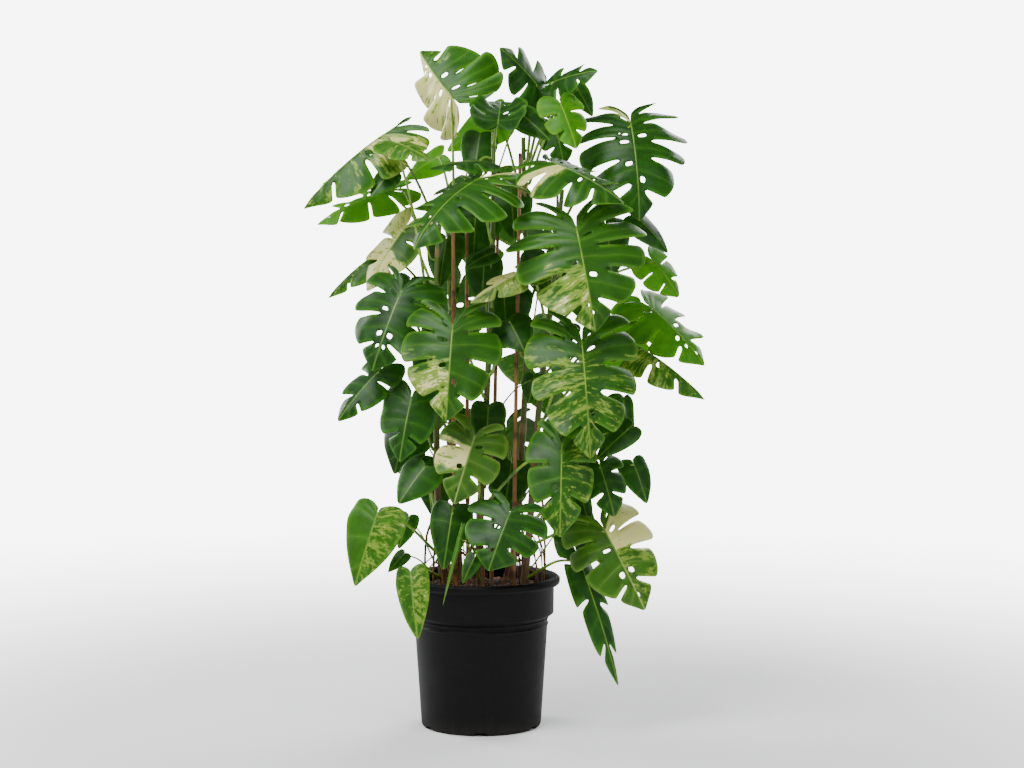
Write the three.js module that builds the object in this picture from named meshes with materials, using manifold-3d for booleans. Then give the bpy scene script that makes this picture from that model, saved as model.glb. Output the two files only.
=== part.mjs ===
// A potted variegated monstera: a black nursery pot, its soil, bamboo canes, climbing vines and split leaves.
// Millimetres, +Z up. The origin is the middle of the pot's underside, and the front of the plant faces -Y.

import * as THREE from 'three';
import { mergeVertices } from 'three/addons/utils/BufferGeometryUtils.js';
import Module from 'manifold-3d';

const wasm = await Module();
wasm.setup();

// Driving dimensions of the pot and its filling
const potHeight = 400;
const rimDiameter = 420;
const collarDiameter = 386;
const bodyDiameter = 353;
const footDiameter = 318;
const potWall = 4;
const soilLevel = 368;
const gap = 0.35;
const roundSides = 24;

// Driving dimensions of the leaves and their stalks
const bladeThickness = 1.4;
const stalkRadius = 4.4;
const stalkTaper = 0.28;
const smallStalkRadius = 2.6;
const stalkSides = 4;
const stalkSteps = 3;
const smallStalkSides = 3;
const broadLeaf = 255;
const youngLeaf = 170;

const finishes = {
  pot: new THREE.MeshStandardMaterial({ color: 0x1c1d1f, roughness: 0.55, metalness: 0 }),
  soil: new THREE.MeshStandardMaterial({ color: 0x2b1d14, roughness: 1, metalness: 0 }),
  cane: new THREE.MeshStandardMaterial({ color: 0xa06a38, roughness: 0.6, metalness: 0 }),
  vine: new THREE.MeshStandardMaterial({ color: 0x4d5c2b, roughness: 0.6, metalness: 0 }),
  green: new THREE.MeshStandardMaterial({ color: 0x1f4a20, roughness: 0.38, metalness: 0 }),
  bright: new THREE.MeshStandardMaterial({ color: 0x63962a, roughness: 0.4, metalness: 0 }),
  marbled: new THREE.MeshStandardMaterial({ color: 0x4a6e33, roughness: 0.4, metalness: 0 }),
  cream: new THREE.MeshStandardMaterial({ color: 0xd8dba8, roughness: 0.45, metalness: 0 }),
};

const group = new THREE.Group();
const vector = (values) => new THREE.Vector3(...values);
const radians = THREE.MathUtils.degToRad;
const up = new THREE.Vector3(0, 0, 1);

// A repeatable number from 0 to 1 for a leaf and one of its places
function scatter(seed, place) {
  const wave = Math.sin(seed * 12.9898 + place * 78.233) * 43758.5453;
  return wave - Math.floor(wave);
}

// Solids

function solidOf(geometry) {
  const bare = geometry.index ? geometry.clone() : geometry;
  bare.deleteAttribute('normal');
  bare.deleteAttribute('uv');
  const merged = mergeVertices(bare, 1e-3);
  return new wasm.Manifold(new wasm.Mesh({
    numProp: 3,
    vertProperties: new Float32Array(merged.attributes.position.array),
    triVerts: new Uint32Array(merged.index.array),
  }));
}

function geometryOf(solid) {
  const mesh = solid.getMesh();
  const geometry = new THREE.BufferGeometry();
  geometry.setAttribute('position', new THREE.BufferAttribute(mesh.vertProperties, 3));
  geometry.setIndex(new THREE.BufferAttribute(mesh.triVerts, 1));
  return geometry;
}

function addPiece(name, solid, material) {
  const piece = new THREE.Mesh(geometryOf(solid), material);
  piece.name = name;
  group.add(piece);
}

function lathe(profile, sides) {
  const geometry = new THREE.LatheGeometry(profile.map(([x, y]) => new THREE.Vector2(x, y)), sides);
  geometry.rotateX(Math.PI / 2);
  return geometry;
}

// A round stalk along a curve: radiusAt gives its radius for each step, from 0 at the start to 1 at the end
function stalk(points, radiusAt, sides, steps) {
  const curve = new THREE.CatmullRomCurve3(points.map(vector));
  const section = new THREE.Shape();
  for (let i = 0; i < sides; i++) {
    const angle = (i / sides) * 2 * Math.PI;
    const put = i ? 'lineTo' : 'moveTo';
    section[put](Math.cos(angle), Math.sin(angle));
  }
  const geometry = mergeVertices(bareTube(section, curve, steps), 1e-3);
  const centres = curve.getSpacedPoints(steps);
  const place = geometry.attributes.position;
  const point = new THREE.Vector3();
  for (let i = 0; i < place.count; i++) {
    point.fromBufferAttribute(place, i);
    const ring = nearest(point, centres);
    point.sub(centres[ring]).multiplyScalar(radiusAt(ring / steps)).add(centres[ring]);
    place.setXYZ(i, point.x, point.y, point.z);
  }
  return geometry;
}

function bareTube(section, curve, steps) {
  const geometry = new THREE.ExtrudeGeometry(section, { steps, extrudePath: curve });
  geometry.deleteAttribute('normal');
  geometry.deleteAttribute('uv');
  return geometry;
}

function nearest(point, centres) {
  let best = 0;
  centres.forEach((centre, i) => {
    if (point.distanceTo(centre) < point.distanceTo(centres[best])) best = i;
  });
  return best;
}

// The pot: a turned shell with a rolled rim, a collar, a raised band below it and notches round its foot

function potSolid() {
  const rim = rimDiameter / 2;
  const collar = collarDiameter / 2;
  const body = bodyDiameter / 2;
  const foot = footDiameter / 2;
  const rimDrop = 22;
  const collarBottom = 302;
  const ridgeProud = 3;
  const inner = collar - 3 - potWall;
  const outside = [
    [foot, 0], [body, 268], [body + ridgeProud, 272], [body + ridgeProud, 286], [body, 290],
    [collar, collarBottom], [collar + 1, potHeight - rimDrop], [rim, potHeight - rimDrop + 5],
    [rim, potHeight - 6], [rim - 7, potHeight],
  ];
  const inside = [
    [inner, potHeight - 2], [inner, collarBottom], [body - potWall, collarBottom - 18],
    [foot - 2 - potWall, potWall],
  ];
  const shell = solidOf(lathe([[0, 0], ...outside, ...inside, [0, potWall]], roundSides));
  const notches = 6;
  let solid = shell;
  for (let i = 0; i < notches; i++) {
    const notch = new THREE.BoxGeometry(26, 30, 16);
    notch.translate(foot, 0, 0);
    notch.rotateZ(((i + 0.5) / notches) * 2 * Math.PI);
    solid = solid.subtract(solidOf(notch));
  }
  return solid;
}

// Canes and vines, as the points that they pass through

const caneRadius = 6;
const canes = {
  cane_left: [[-66, -74, 240], [-71, -64, 1335]],
  cane_right: [[84, -97, 240], [103, -86, 1512]],
  cane_middle: [[-35, 23, 240], [-38, 28, 1322]],
  cane_back: [[24, 103, 240], [46, 96, 1480]],
};

function caneSolid([foot, top], extra) {
  const jointSpacing = 190;
  const rings = 9;
  const lower = [foot[0], foot[1], foot[2] - extra];
  const joints = Math.max(3, Math.round((top[2] - foot[2]) / jointSpacing));
  const bulge = (along) => 1 + 0.12 * Math.abs(Math.cos(along * joints * Math.PI)) ** 8;
  const taper = (along) => 1 - 0.25 * along;
  return solidOf(stalk([lower, foot.map((value, i) => (value + top[i]) / 2), top],
    (along) => caneRadius * taper(along) * bulge(along) + extra, 6, rings));
}

const vineRadius = 10.5;
const besideVine = 18;
const vines = {
  vine_left: [[-92, -28, 290], [-108, -34, 480], [-118, -20, 860], [-116, -8, 1200], [-106, -2, 1375]],
  vine_right: [[104, -34, 290], [124, -40, 480], [150, -34, 820], [186, -26, 1130], [214, -14, 1420]],
  vine_middle: [[8, -62, 290], [-4, -56, 480], [14, -46, 840], [30, -40, 1200], [34, -26, 1570]],
  vine_back_left: [[-56, 88, 290], [-66, 96, 520], [-84, 88, 900], [-72, 70, 1440]],
  vine_back_right: [[74, 66, 290], [96, 84, 560], [120, 78, 980], [112, 56, 1560]],
};

// Aerial roots leave a vine at one height, bow outwards and end in the soil
const roots = {
  vine_left: [[560, -150, -20], [470, -70, -110]],
  vine_right: [[640, 170, 20], [480, 60, -20]],
  vine_middle: [[520, -34, -122]],
  vine_back_left: [[560, -130, 80]],
  vine_back_right: [[620, 110, 140]],
};
const rootDepth = 330;

const vineCurves = Object.fromEntries(Object.entries(vines)
  .map(([name, points]) => [name, new THREE.CatmullRomCurve3(points.map(vector))]));

// The point of a vine at a height
function vineAt(name, height) {
  const curve = vineCurves[name];
  let low = 0;
  let high = 1;
  for (let i = 0; i < 24; i++) {
    const middle = (low + high) / 2;
    if (curve.getPointAt(middle).z < height) low = middle;
    else high = middle;
  }
  return curve.getPointAt(low);
}

function vineRadiusAt(along) {
  return vineRadius * (1 - 0.45 * along);
}

function vineSolid(name, extra) {
  const rings = 18;
  const leafScar = (along) => (Math.round(along * rings) % 3 === 1 ? 1.2 : 1);
  const lower = vines[name].map((point, i) => (i ? point : [point[0], point[1], point[2] - extra]));
  let solid = solidOf(stalk(lower, (along) => vineRadiusAt(along) * leafScar(along) + extra, 6, rings));
  for (const [height, x, y] of roots[name]) {
    const start = vineAt(name, height);
    const bow = [(start.x + 2 * x) / 3, (start.y + 2 * y) / 3, height - 30];
    const path = [start.toArray(), bow, [x, y, soilLevel + 20], [x * 0.97, y * 0.97, rootDepth - extra]];
    solid = solid.add(solidOf(stalk(path, (along) => 3.4 - 0.8 * along + extra, 5, 6)));
  }
  return solid;
}

// The soil: a filling with an uneven top, and plain holes for what stands in it

function soilSolid() {
  const collar = collarDiameter / 2 - 3 - potWall - gap;
  const body = bodyDiameter / 2 - potWall - gap;
  const foot = footDiameter / 2 - potWall - gap;
  const profile = [
    [0, potWall + gap], [foot - 8, potWall + gap], [foot - 2, potWall + 10], [body - 1.5, 283],
    [collar - 1, 304], [collar - 1, soilLevel - 12], [140, soilLevel + 2], [70, soilLevel + 5],
    [0, soilLevel + 8],
  ];
  const geometry = mergeVertices(bareLathe(profile, roundSides), 1e-3);
  const place = geometry.attributes.position;
  for (let i = 0; i < place.count; i++) {
    const [x, y, z] = [place.getX(i), place.getY(i), place.getZ(i)];
    if (z > soilLevel - 5 && Math.hypot(x, y) > 1) {
      place.setZ(i, z + 5 * Math.sin(x * 0.055 + 1) * Math.cos(y * 0.07) + 3 * Math.sin(x * 0.13 - y * 0.11));
    }
  }
  return solidOf(geometry);
}

function bareLathe(profile, sides) {
  const geometry = lathe(profile, sides);
  geometry.deleteAttribute('normal');
  geometry.deleteAttribute('uv');
  return geometry;
}

// Leaf blades. A blade is laid out flat first: its half outline is one Bezier curve in parts of its length and
// width, and along says how far round the outline a side vein ends, from 0 at the stalk to 1 at the tip. A split
// leaf is deeply heart-shaped at its stalk, and a whole one is oval.

const splitOutline = new THREE.CubicBezierCurve(
  new THREE.Vector2(-0.12, 0.03),
  new THREE.Vector2(-0.85, 0.42),
  new THREE.Vector2(0.5, 0.85),
  new THREE.Vector2(1, 0),
);
const wholeOutline = new THREE.CubicBezierCurve(
  new THREE.Vector2(-0.05, 0.03),
  new THREE.Vector2(-0.5, 0.52),
  new THREE.Vector2(0.32, 0.74),
  new THREE.Vector2(1, 0),
);
const outlineWidth = 0.98;
const dripTip = (along) => 0.06 * along ** 30;
const veinRoot = (along) => 0.9 * along ** 2.8;
const veinBow = 0.05;

// The flat place out (0 at the midrib, 1 at the edge) on the side vein that ends at along
function flatPlace(leaf, along, out) {
  const edge = (leaf.slits ? splitOutline : wholeOutline).getPoint(along);
  const bow = veinBow * 4 * out * (1 - out) * (1 - along);
  const forward = veinRoot(along) * (1 - out) + (edge.x + dripTip(along)) * out - bow;
  return [forward, (edge.y / outlineWidth) * out];
}

// The lobes of one side: their bounds round the outline, how far in each slit runs and how wide it opens
function lobeBounds(leaf, side) {
  const bounds = [];
  for (let i = 0; i <= leaf.lobes; i++) {
    const even = 1 - (1 - i / leaf.lobes) ** 1.35;
    const inner = i > 0 && i < leaf.lobes;
    const shift = inner ? (scatter(leaf.seed, i * side) - 0.5) * 0.05 : 0;
    bounds.push({
      along: even + shift,
      slit: inner && i > leaf.lobes - 1 - leaf.slits,
      start: i === 0 ? 0.45 : 0.24 + 0.12 * scatter(leaf.seed, i * side + 20),
      opening: 0.007 + 0.007 * scatter(leaf.seed, i * side + 40),
    });
  }
  return bounds;
}

// Bends a flat place of a leaf into space: the midrib is an arc and each cross section is another
function bentPlace(leaf, forward, sideways, lift) {
  const turn = leaf.bend * (forward - 0.5);
  const arc = leaf.chord / (2 * Math.sin(leaf.bend / 2));
  const middle = leaf.base.clone()
    .addScaledVector(leaf.ahead, arc * (Math.sin(turn) + Math.sin(leaf.bend / 2)))
    .addScaledVector(leaf.face, arc * (Math.cos(turn) - Math.cos(leaf.bend / 2)));
  const face = leaf.face.clone().multiplyScalar(Math.cos(turn)).addScaledVector(leaf.ahead, Math.sin(turn));
  const reach = Math.abs(sideways);
  const rate = leaf.curl / (leaf.width / 2);
  const slope = leaf.fold + rate * reach;
  const across = (Math.sin(slope) - Math.sin(leaf.fold)) / rate;
  const drop = (Math.cos(leaf.fold) - Math.cos(slope)) / rate;
  const outward = leaf.across.clone().multiplyScalar(Math.sign(sideways));
  const normal = face.clone().multiplyScalar(Math.cos(slope)).addScaledVector(outward, Math.sin(slope));
  const point = middle.addScaledVector(outward, across).addScaledVector(face, -drop).addScaledVector(normal, lift);
  return { point, normal };
}

// The rows of corners from the midrib to the edge: a broad leaf has all four, a young one the first and the last
function rowsAcross(leaf) {
  if (leaf.width > broadLeaf) return [0, 1, 2, 3];
  return leaf.width > youngLeaf || leaf.slits ? [0, 1, 3] : [0, 3];
}

// One blade as a closed solid: the same triangles above and below, and a wall round the edge
function bladeSolid(leaf) {
  const places = new Map();
  const corners = [];
  const triangles = [];
  const corner = (key, along, out, side, twist) => {
    if (!places.has(key)) {
      const [forward, sideways] = flatPlace(leaf, along, out);
      const lift = twist * leaf.twist * leaf.width * out * out;
      places.set(key, corners.length);
      corners.push(bentPlace(leaf, forward, side * sideways * leaf.width, lift));
    }
    return places.get(key);
  };
  const rows = rowsAcross(leaf);
  for (const side of [1, -1]) {
    const bounds = lobeBounds(leaf, side);
    const last = leaf.lobes;
    // A corner of the lobe that starts or ends at bound i: edge is -1 for the end before it, 1 for the start after it
    const rung = (i, row, edge) => {
      const { along, slit, start, opening } = bounds[i];
      const out = [0, start, (1 + start) / 2, slit ? 0.94 : 1][row];
      const open = slit && row > 1;
      const part = open ? `${edge}` : '';
      const shared = row === 0 || i === last ? '' : `${side}`;
      const moved = open ? along + edge * opening * (row === 2 ? 1.3 : 1) : along;
      return corner(`${shared} ${i} ${row} ${part}`, moved, out, side, open ? -edge : 0);
    };
    const fill = (...loop) => {
      for (let i = 1; i < loop.length - 1; i++) {
        const [b, c] = side > 0 ? [loop[i], loop[i + 1]] : [loop[i + 1], loop[i]];
        triangles.push([loop[0], b, c]);
      }
    };
    for (let i = 0; i < last; i++) {
      rows.slice(1).forEach((row, j) => {
        fill(rung(i, rows[j], 1), rung(i + 1, rows[j], -1), rung(i + 1, row, -1), rung(i, row, 1));
      });
      if (bounds[i].slit || bounds[i + 1].slit) {
        const middle = (bounds[i].along + bounds[i + 1].along) / 2;
        fill(rung(i, 3, 1), rung(i + 1, 3, -1), corner(`${side} end ${i}`, middle + 0.01, 1.02, side, 0));
      }
    }
  }
  return solidOf(thickened(corners, triangles, bladeThickness));
}

function thickened(corners, triangles, thickness) {
  const positions = [];
  for (const half of [0.5, -0.5]) {
    for (const { point, normal } of corners) {
      positions.push(...point.clone().addScaledVector(normal, half * thickness).toArray());
    }
  }
  const below = corners.length;
  const index = [];
  const edges = new Set(triangles.flatMap(([a, b, c]) => [`${a} ${b}`, `${b} ${c}`, `${c} ${a}`]));
  for (const [a, b, c] of triangles) {
    index.push(a, b, c, below + a, below + c, below + b);
    for (const [from, to] of [[a, b], [b, c], [c, a]]) {
      if (!edges.has(`${to} ${from}`)) {
        index.push(from, below + from, below + to, from, below + to, to);
      }
    }
  }
  const geometry = new THREE.BufferGeometry();
  geometry.setAttribute('position', new THREE.Float32BufferAttribute(positions, 3));
  geometry.setIndex(index);
  return geometry;
}

// A leaf stalk: it leaves the vine below the leaf, rises and bows over into the blade's base. It starts at the
// vine's middle where it is one piece with it, or else beside it
function stalkSolid(leaf, radius, sides, beside) {
  const start = vineAt(leaf.vine, leaf.from);
  const away = leaf.base.clone().sub(start).setZ(0).normalize();
  start.addScaledVector(away, beside);
  const end = bentPlace(leaf, 0.05, 0, 0.1).point;
  const middle = start.clone().lerp(end, 0.55).addScaledVector(up, end.distanceTo(start) * leaf.rise);
  const path = [start.toArray(), middle.toArray(), end.toArray()];
  const taper = (along) => radius * (1 - stalkTaper * along);
  return solidOf(stalk(path, taper, sides, stalkSteps));
}

// Fills in a leaf's own axes from the row that describes it
function grownLeaf(name, seed, row) {
  const [vine, from, base, tip, face, width, lobes, slits, look, shape = {}] = row;
  const { bend = 20, fold = 8, curl = 22, twist = 0.05, rise = 0.12 } = shape;
  const ahead = vector(tip).sub(vector(base));
  const chord = ahead.length();
  ahead.normalize();
  const facing = vector(face);
  facing.addScaledVector(ahead, -facing.dot(ahead)).normalize();
  return {
    name, seed, vine, from, look, width, lobes, slits, twist, rise, chord, ahead,
    base: vector(base),
    face: facing,
    across: facing.clone().cross(ahead),
    bend: radians(bend),
    fold: radians(fold),
    curl: radians(curl),
  };
}

// The large leaves. Each row: vine, height where its stalk starts, base of the blade, tip, the way that its upper
// side faces, width, lobes on a side, slits on a side, finish, and how it bends in degrees
const leafRows = {
  leaf_crown_left: ['vine_back_left', 1390, [-70, -30, 1655], [-160, 60, 1782], [-0.72, -0.6, 0.4], 310, 5, 4, 'marbled',
    { fold: 28, curl: 15 }],
  leaf_crown_cup: ['vine_middle', 1545, [46, -132, 1586], [54, -12, 1648], [0, -0.5, 0.9], 170, 4, 2, 'green',
    { fold: -15, curl: -25 }],
  leaf_crown_glow: ['vine_back_right', 1440, [45, 95, 1620], [-90, 145, 1530], [-0.2, -0.8, 0.5], 150, 3, 0, 'bright'],
  leaf_crown_top: ['vine_back_right', 1500, [150, 0, 1690], [55, -70, 1780], [0.35, -0.8, 0.45], 150, 4, 2, 'green'],
  leaf_crown_right: ['vine_back_right', 1500, [185, 10, 1700], [300, -60, 1725], [0.1, -0.8, 0.6], 120, 4, 2, 'green'],
  leaf_crown_split: ['vine_back_right', 1470, [208, -74, 1640], [246, -124, 1526], [0.2, -0.9, 0.4], 130, 4, 2, 'bright'],
  leaf_centre_shade: ['vine_back_right', 1440, [195, 112, 1605], [220, 80, 1490], [0, -0.9, 0.4], 120, 4, 3, 'green'],
  leaf_shoulder_right: ['vine_right', 1350, [395, 30, 1600], [415, -40, 1350], [0.05, -0.75, 0.6], 320, 6, 5, 'green',
    { bend: 50, curl: 32 }],
  leaf_shoulder_left: ['vine_back_left', 1260, [-245, -20, 1570], [-455, -50, 1380], [-0.5, -0.5, 0.6], 230, 5, 4, 'marbled',
    { fold: 28, curl: 22 }],
  leaf_left_drape: ['vine_back_left', 1190, [-240, 98, 1422], [-430, 78, 1335], [-0.2, -0.5, 0.85], 170, 5, 3, 'bright'],
  leaf_left_upper: ['vine_left', 1080, [-226, -94, 1542], [-128, -176, 1490], [0.2, -0.7, 0.7], 110, 4, 2, 'marbled'],
  leaf_left_glow: ['vine_back_left', 1400, [-110, 126, 1515], [-205, 152, 1452], [-0.2, -0.8, 0.5], 100, 3, 0, 'bright'],
  leaf_top_shade: ['vine_middle', 1500, [5, -80, 1492], [-125, -130, 1472], [0, -0.3, 0.95], 110, 4, 2, 'green'],
  leaf_centre_top: ['vine_middle', 1290, [-2, -135, 1445], [-160, -252, 1275], [-0.35, -0.5, 0.8], 315, 6, 5, 'marbled',
    { bend: 40, curl: 30 }],
  leaf_right_graze: ['vine_right', 1300, [190, -130, 1485], [360, -210, 1385], [0.15, -0.45, 0.9], 260, 5, 4, 'marbled',
    { curl: 28 }],
  leaf_main_right: ['vine_right', 1110, [245, -210, 1320], [290, -268, 1070], [0.05, -0.95, 0.25], 365, 6, 5, 'marbled'],
  leaf_right_edge: ['vine_right', 1060, [455, 60, 1235], [525, 60, 1140], [0.3, -0.7, 0.6], 140, 4, 2, 'bright'],
  leaf_right_far: ['vine_right', 880, [450, 40, 1110], [585, 0, 965], [0.35, -0.6, 0.65], 230, 5, 3, 'bright'],
  leaf_right_arch: ['vine_right', 820, [400, -34, 1018], [580, -72, 880], [0.3, -0.35, 0.85], 170, 5, 4, 'marbled',
    { fold: 28, curl: 22 }],
  leaf_right_glow: ['vine_back_right', 900, [420, 92, 1075], [320, 82, 935], [0, -0.9, 0.3], 160, 4, 2, 'bright'],
  leaf_second_right: ['vine_right', 800, [260, -200, 1030], [280, -262, 750], [0.05, -0.95, 0.3], 300, 6, 5, 'marbled'],
  leaf_right_drip: ['vine_right', 560, [400, -60, 705], [435, -80, 600], [0.3, -0.9, 0.3], 95, 3, 0, 'green'],
  leaf_right_low_shade: ['vine_right', 540, [310, -120, 705], [345, -170, 580], [0.1, -0.9, 0.4], 130, 4, 3, 'green'],
  leaf_centre_hanging: ['vine_middle', 600, [210, -172, 758], [204, -232, 540], [0, -0.95, 0.3], 190, 4, 3, 'marbled'],
  leaf_low_right: ['vine_right', 490, [320, -120, 540], [420, -180, 345], [0.1, -0.9, 0.35], 240, 5, 4, 'cream'],
  leaf_trailing: ['vine_right', 405, [254, -104, 466], [354, -172, 150], [0.2, -0.9, 0.3], 110, 5, 4, 'green',
    { fold: 30, bend: 25 }],
  leaf_left_cream: ['vine_left', 1180, [-200, 30, 1322], [-298, 4, 1160], [-0.4, -0.8, 0.4], 150, 4, 2, 'cream'],
  leaf_left_narrow: ['vine_back_left', 1080, [-260, 62, 1265], [-405, 50, 1140], [-0.5, -0.3, 0.8], 115, 4, 3, 'marbled',
    { fold: 40 }],
  leaf_left_gloss: ['vine_left', 960, [-205, -95, 1155], [-275, -150, 960], [-0.15, -0.85, 0.5], 250, 5, 4, 'green',
    { curl: 30 }],
  leaf_left_gloss_low: ['vine_left', 800, [-264, -58, 948], [-368, -100, 822], [-0.3, -0.8, 0.5], 130, 4, 2, 'green'],
  leaf_left_oval: ['vine_left', 740, [-180, -106, 878], [-208, -142, 722], [-0.1, -0.9, 0.35], 160, 4, 1, 'green'],
  leaf_centre_left: ['vine_middle', 880, [-70, -190, 1065], [-85, -248, 840], [0, -0.95, 0.3], 270, 5, 4, 'marbled'],
  leaf_centre_low: ['vine_middle', 620, [-15, -170, 780], [-65, -212, 620], [0, -0.95, 0.35], 190, 4, 3, 'cream'],
  leaf_left_mid: ['vine_left', 560, [-145, -130, 700], [-210, -170, 610], [-0.2, -0.9, 0.4], 125, 3, 0, 'green'],
  leaf_left_heart: ['vine_left', 470, [-265, -165, 585], [-320, -190, 405], [-0.15, -0.95, 0.25], 165, 4, 0, 'marbled'],
  leaf_low_oval: ['vine_middle', 470, [-72, -142, 590], [-95, -172, 440], [0, -0.95, 0.25], 120, 3, 0, 'green'],
  leaf_front_low: ['vine_middle', 440, [76, -222, 592], [24, -280, 458], [0, -0.85, 0.5], 220, 4, 3, 'green'],
  leaf_rim: ['vine_left', 405, [-180, -160, 425], [-160, -205, 265], [-0.2, -0.95, 0.2], 100, 3, 0, 'marbled'],
  leaf_centre_round: ['vine_middle', 940, [75, -120, 1080], [115, -160, 1000], [0, -0.95, 0.35], 125, 3, 0, 'green'],
  leaf_centre_curled: ['vine_right', 1060, [135, -152, 1215], [-20, -178, 1130], [-0.1, -0.6, 0.8], 110, 4, 3, 'cream'],
};

// The leaves at the back follow a rule: they wind up round the crown, each hanging outwards like a roof tile
const backLeaves = 7;
const backCentre = [40, 0];
for (let i = 0; i < backLeaves; i++) {
  const turn = radians(28 + ((i * 55) % 130));
  const level = 640 + i * 132;
  const at = (radius, height) => [
    backCentre[0] + radius * Math.cos(turn), backCentre[1] + radius * Math.sin(turn), height];
  leafRows[`leaf_back_${i + 1}`] = [
    Math.cos(turn) < 0 ? 'vine_back_left' : 'vine_back_right', level - 170, at(215, level), at(335, level - 235),
    [Math.cos(turn) * 0.9, Math.sin(turn) * 0.9, 0.45], 250 - 30 * (i % 3), 4, 3, i % 3 ? 'green' : 'marbled'];
}

// The small young leaves grow as one piece with their vine
const smallLeafRows = {
  vine_back_right: [
    [1530, [150, 84, 1722], [140, 76, 1642], [0, -0.9, 0.3], 55],
    [1500, [255, 60, 1690], [295, 50, 1615], [0.1, -0.9, 0.3], 65],
    [1200, [330, 38, 1330], [345, 8, 1190], [0.3, -0.8, 0.5], 165],
    [980, [60, 30, 1150], [70, 0, 1010], [0, -0.9, 0.4], 165],
    [640, [240, 60, 800], [260, 30, 660], [0.2, -0.9, 0.4], 165],
    [480, [80, 20, 690], [60, -10, 560], [0, -0.9, 0.4], 130],
    [1270, [80, 50, 1412], [88, 24, 1290], [0, -0.9, 0.4], 125],
    [1040, [172, 44, 1250], [182, 18, 1120], [0.1, -0.9, 0.4], 150],
    [600, [335, 66, 860], [350, 36, 730], [0.2, -0.9, 0.4], 135],
  ],
  vine_middle: [
    [1480, [105, -70, 1615], [180, -100, 1545], [0, -0.9, 0.3], 85],
    [1120, [30, -90, 1255], [-40, -120, 1215], [0, -0.8, 0.6], 60],
    [820, [140, -50, 930], [125, -64, 860], [0, -0.9, 0.3], 70],
    [420, [-50, -205, 535], [-95, -222, 355], [0, -0.95, 0.2], 12],
    [400, [-15, -165, 470], [-45, -182, 405], [0, -0.9, 0.4], 50],
    [1040, [10, -78, 1235], [4, -94, 1115], [0, -0.9, 0.4], 110],
    [640, [20, -76, 850], [14, -96, 720], [0, -0.9, 0.4], 105],
  ],
  vine_right: [
    [1200, [410, 20, 1350], [495, 30, 1255], [0.3, -0.6, 0.6], 110],
    [980, [235, -120, 1070], [185, -150, 1005], [0, -0.9, 0.3], 65],
    [660, [214, -80, 806], [198, -98, 690], [0, -0.9, 0.3], 110],
    [720, [375, -40, 865], [390, -50, 755], [0.3, -0.9, 0.3], 65],
    [660, [390, -90, 800], [300, -130, 720], [0, -0.8, 0.5], 80],
    [520, [258, -26, 632], [292, -34, 520], [0, -0.9, 0.3], 56],
    [430, [270, -30, 575], [310, -40, 460], [0.2, -0.9, 0.3], 55],
  ],
  vine_left: [
    [1240, [-235, -42, 1465], [-285, -66, 1400], [-0.2, -0.9, 0.4], 75],
    [560, [-150, -60, 720], [-215, -90, 680], [-0.2, -0.8, 0.6], 50],
    [440, [-190, -50, 560], [-215, -70, 480], [0, -0.9, 0.4], 65],
    [400, [-200, -100, 470], [-240, -120, 425], [-0.2, -0.9, 0.3], 45],
  ],
  vine_back_left: [
    [1220, [-15, 66, 1370], [-20, 50, 1230], [0, -0.9, 0.4], 165],
    [1000, [-190, 60, 1180], [-220, 40, 1050], [-0.3, -0.8, 0.5], 165],
    [800, [-125, 45, 1000], [-140, 20, 870], [-0.1, -0.9, 0.4], 130],
    [620, [-190, 40, 800], [-230, 20, 670], [-0.3, -0.8, 0.4], 165],
    [600, [-15, 66, 820], [-20, 50, 690], [0, -0.9, 0.4], 130],
    [1390, [-4, 52, 1562], [-20, 26, 1440], [-0.1, -0.9, 0.4], 108],
    [1110, [-92, 34, 1290], [-108, 8, 1165], [-0.1, -0.9, 0.4], 115],
    [500, [-112, 50, 690], [-132, 22, 560], [0, -0.9, 0.4], 145],
  ],
};

function smallLeafSolid(name, seed, [from, base, tip, face, width]) {
  const leaf = grownLeaf(name, seed, [name, from, base, tip, face, width, 3, 0, 'green']);
  return bladeSolid(leaf).add(stalkSolid(leaf, smallStalkRadius, smallStalkSides, 0));
}

// Assembly

addPiece('pot', potSolid(), finishes.pot);

let soil = soilSolid();
for (const [name, ends] of Object.entries(canes)) {
  addPiece(name, caneSolid(ends, 0), finishes.cane);
  soil = soil.subtract(caneSolid(ends, gap));
}

for (const name of Object.keys(vines)) {
  let vine = vineSolid(name, 0);
  smallLeafRows[name].forEach((row, i) => {
    vine = vine.add(smallLeafSolid(name, i + 1, row));
  });
  addPiece(name, vine, finishes.vine);
  soil = soil.subtract(vineSolid(name, gap));
}
addPiece('soil', soil, finishes.soil);

Object.entries(leafRows).forEach(([name, row], i) => {
  const leaf = grownLeaf(name, i + 1, row);
  const stalkPart = stalkSolid(leaf, stalkRadius, stalkSides, besideVine);
  addPiece(name, bladeSolid(leaf).add(stalkPart), finishes[leaf.look]);
});

export default group;
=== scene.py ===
"""A potted variegated monstera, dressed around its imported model: metres, +Z up, front towards -Y.

The nursery pot, its soil, the bamboo canes, the climbing stems and every leaf are made here as finer
pieces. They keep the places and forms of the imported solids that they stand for, and carry the finishes of
moulded plastic, coir compost, bamboo, living stems and cream-marbled leaves.
"""

import logging
import math
from collections.abc import Callable, Sequence
from dataclasses import dataclass, field
from enum import Enum
from typing import NamedTuple

import bmesh
import bpy
from bmesh.types import BMEdge, BMesh, BMFace, BMLoop, BMVert
from bpy.types import ID, Material, Mesh, Node, NodeSocket, NodeTree, Object
from mathutils import Matrix, Vector, noise


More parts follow.
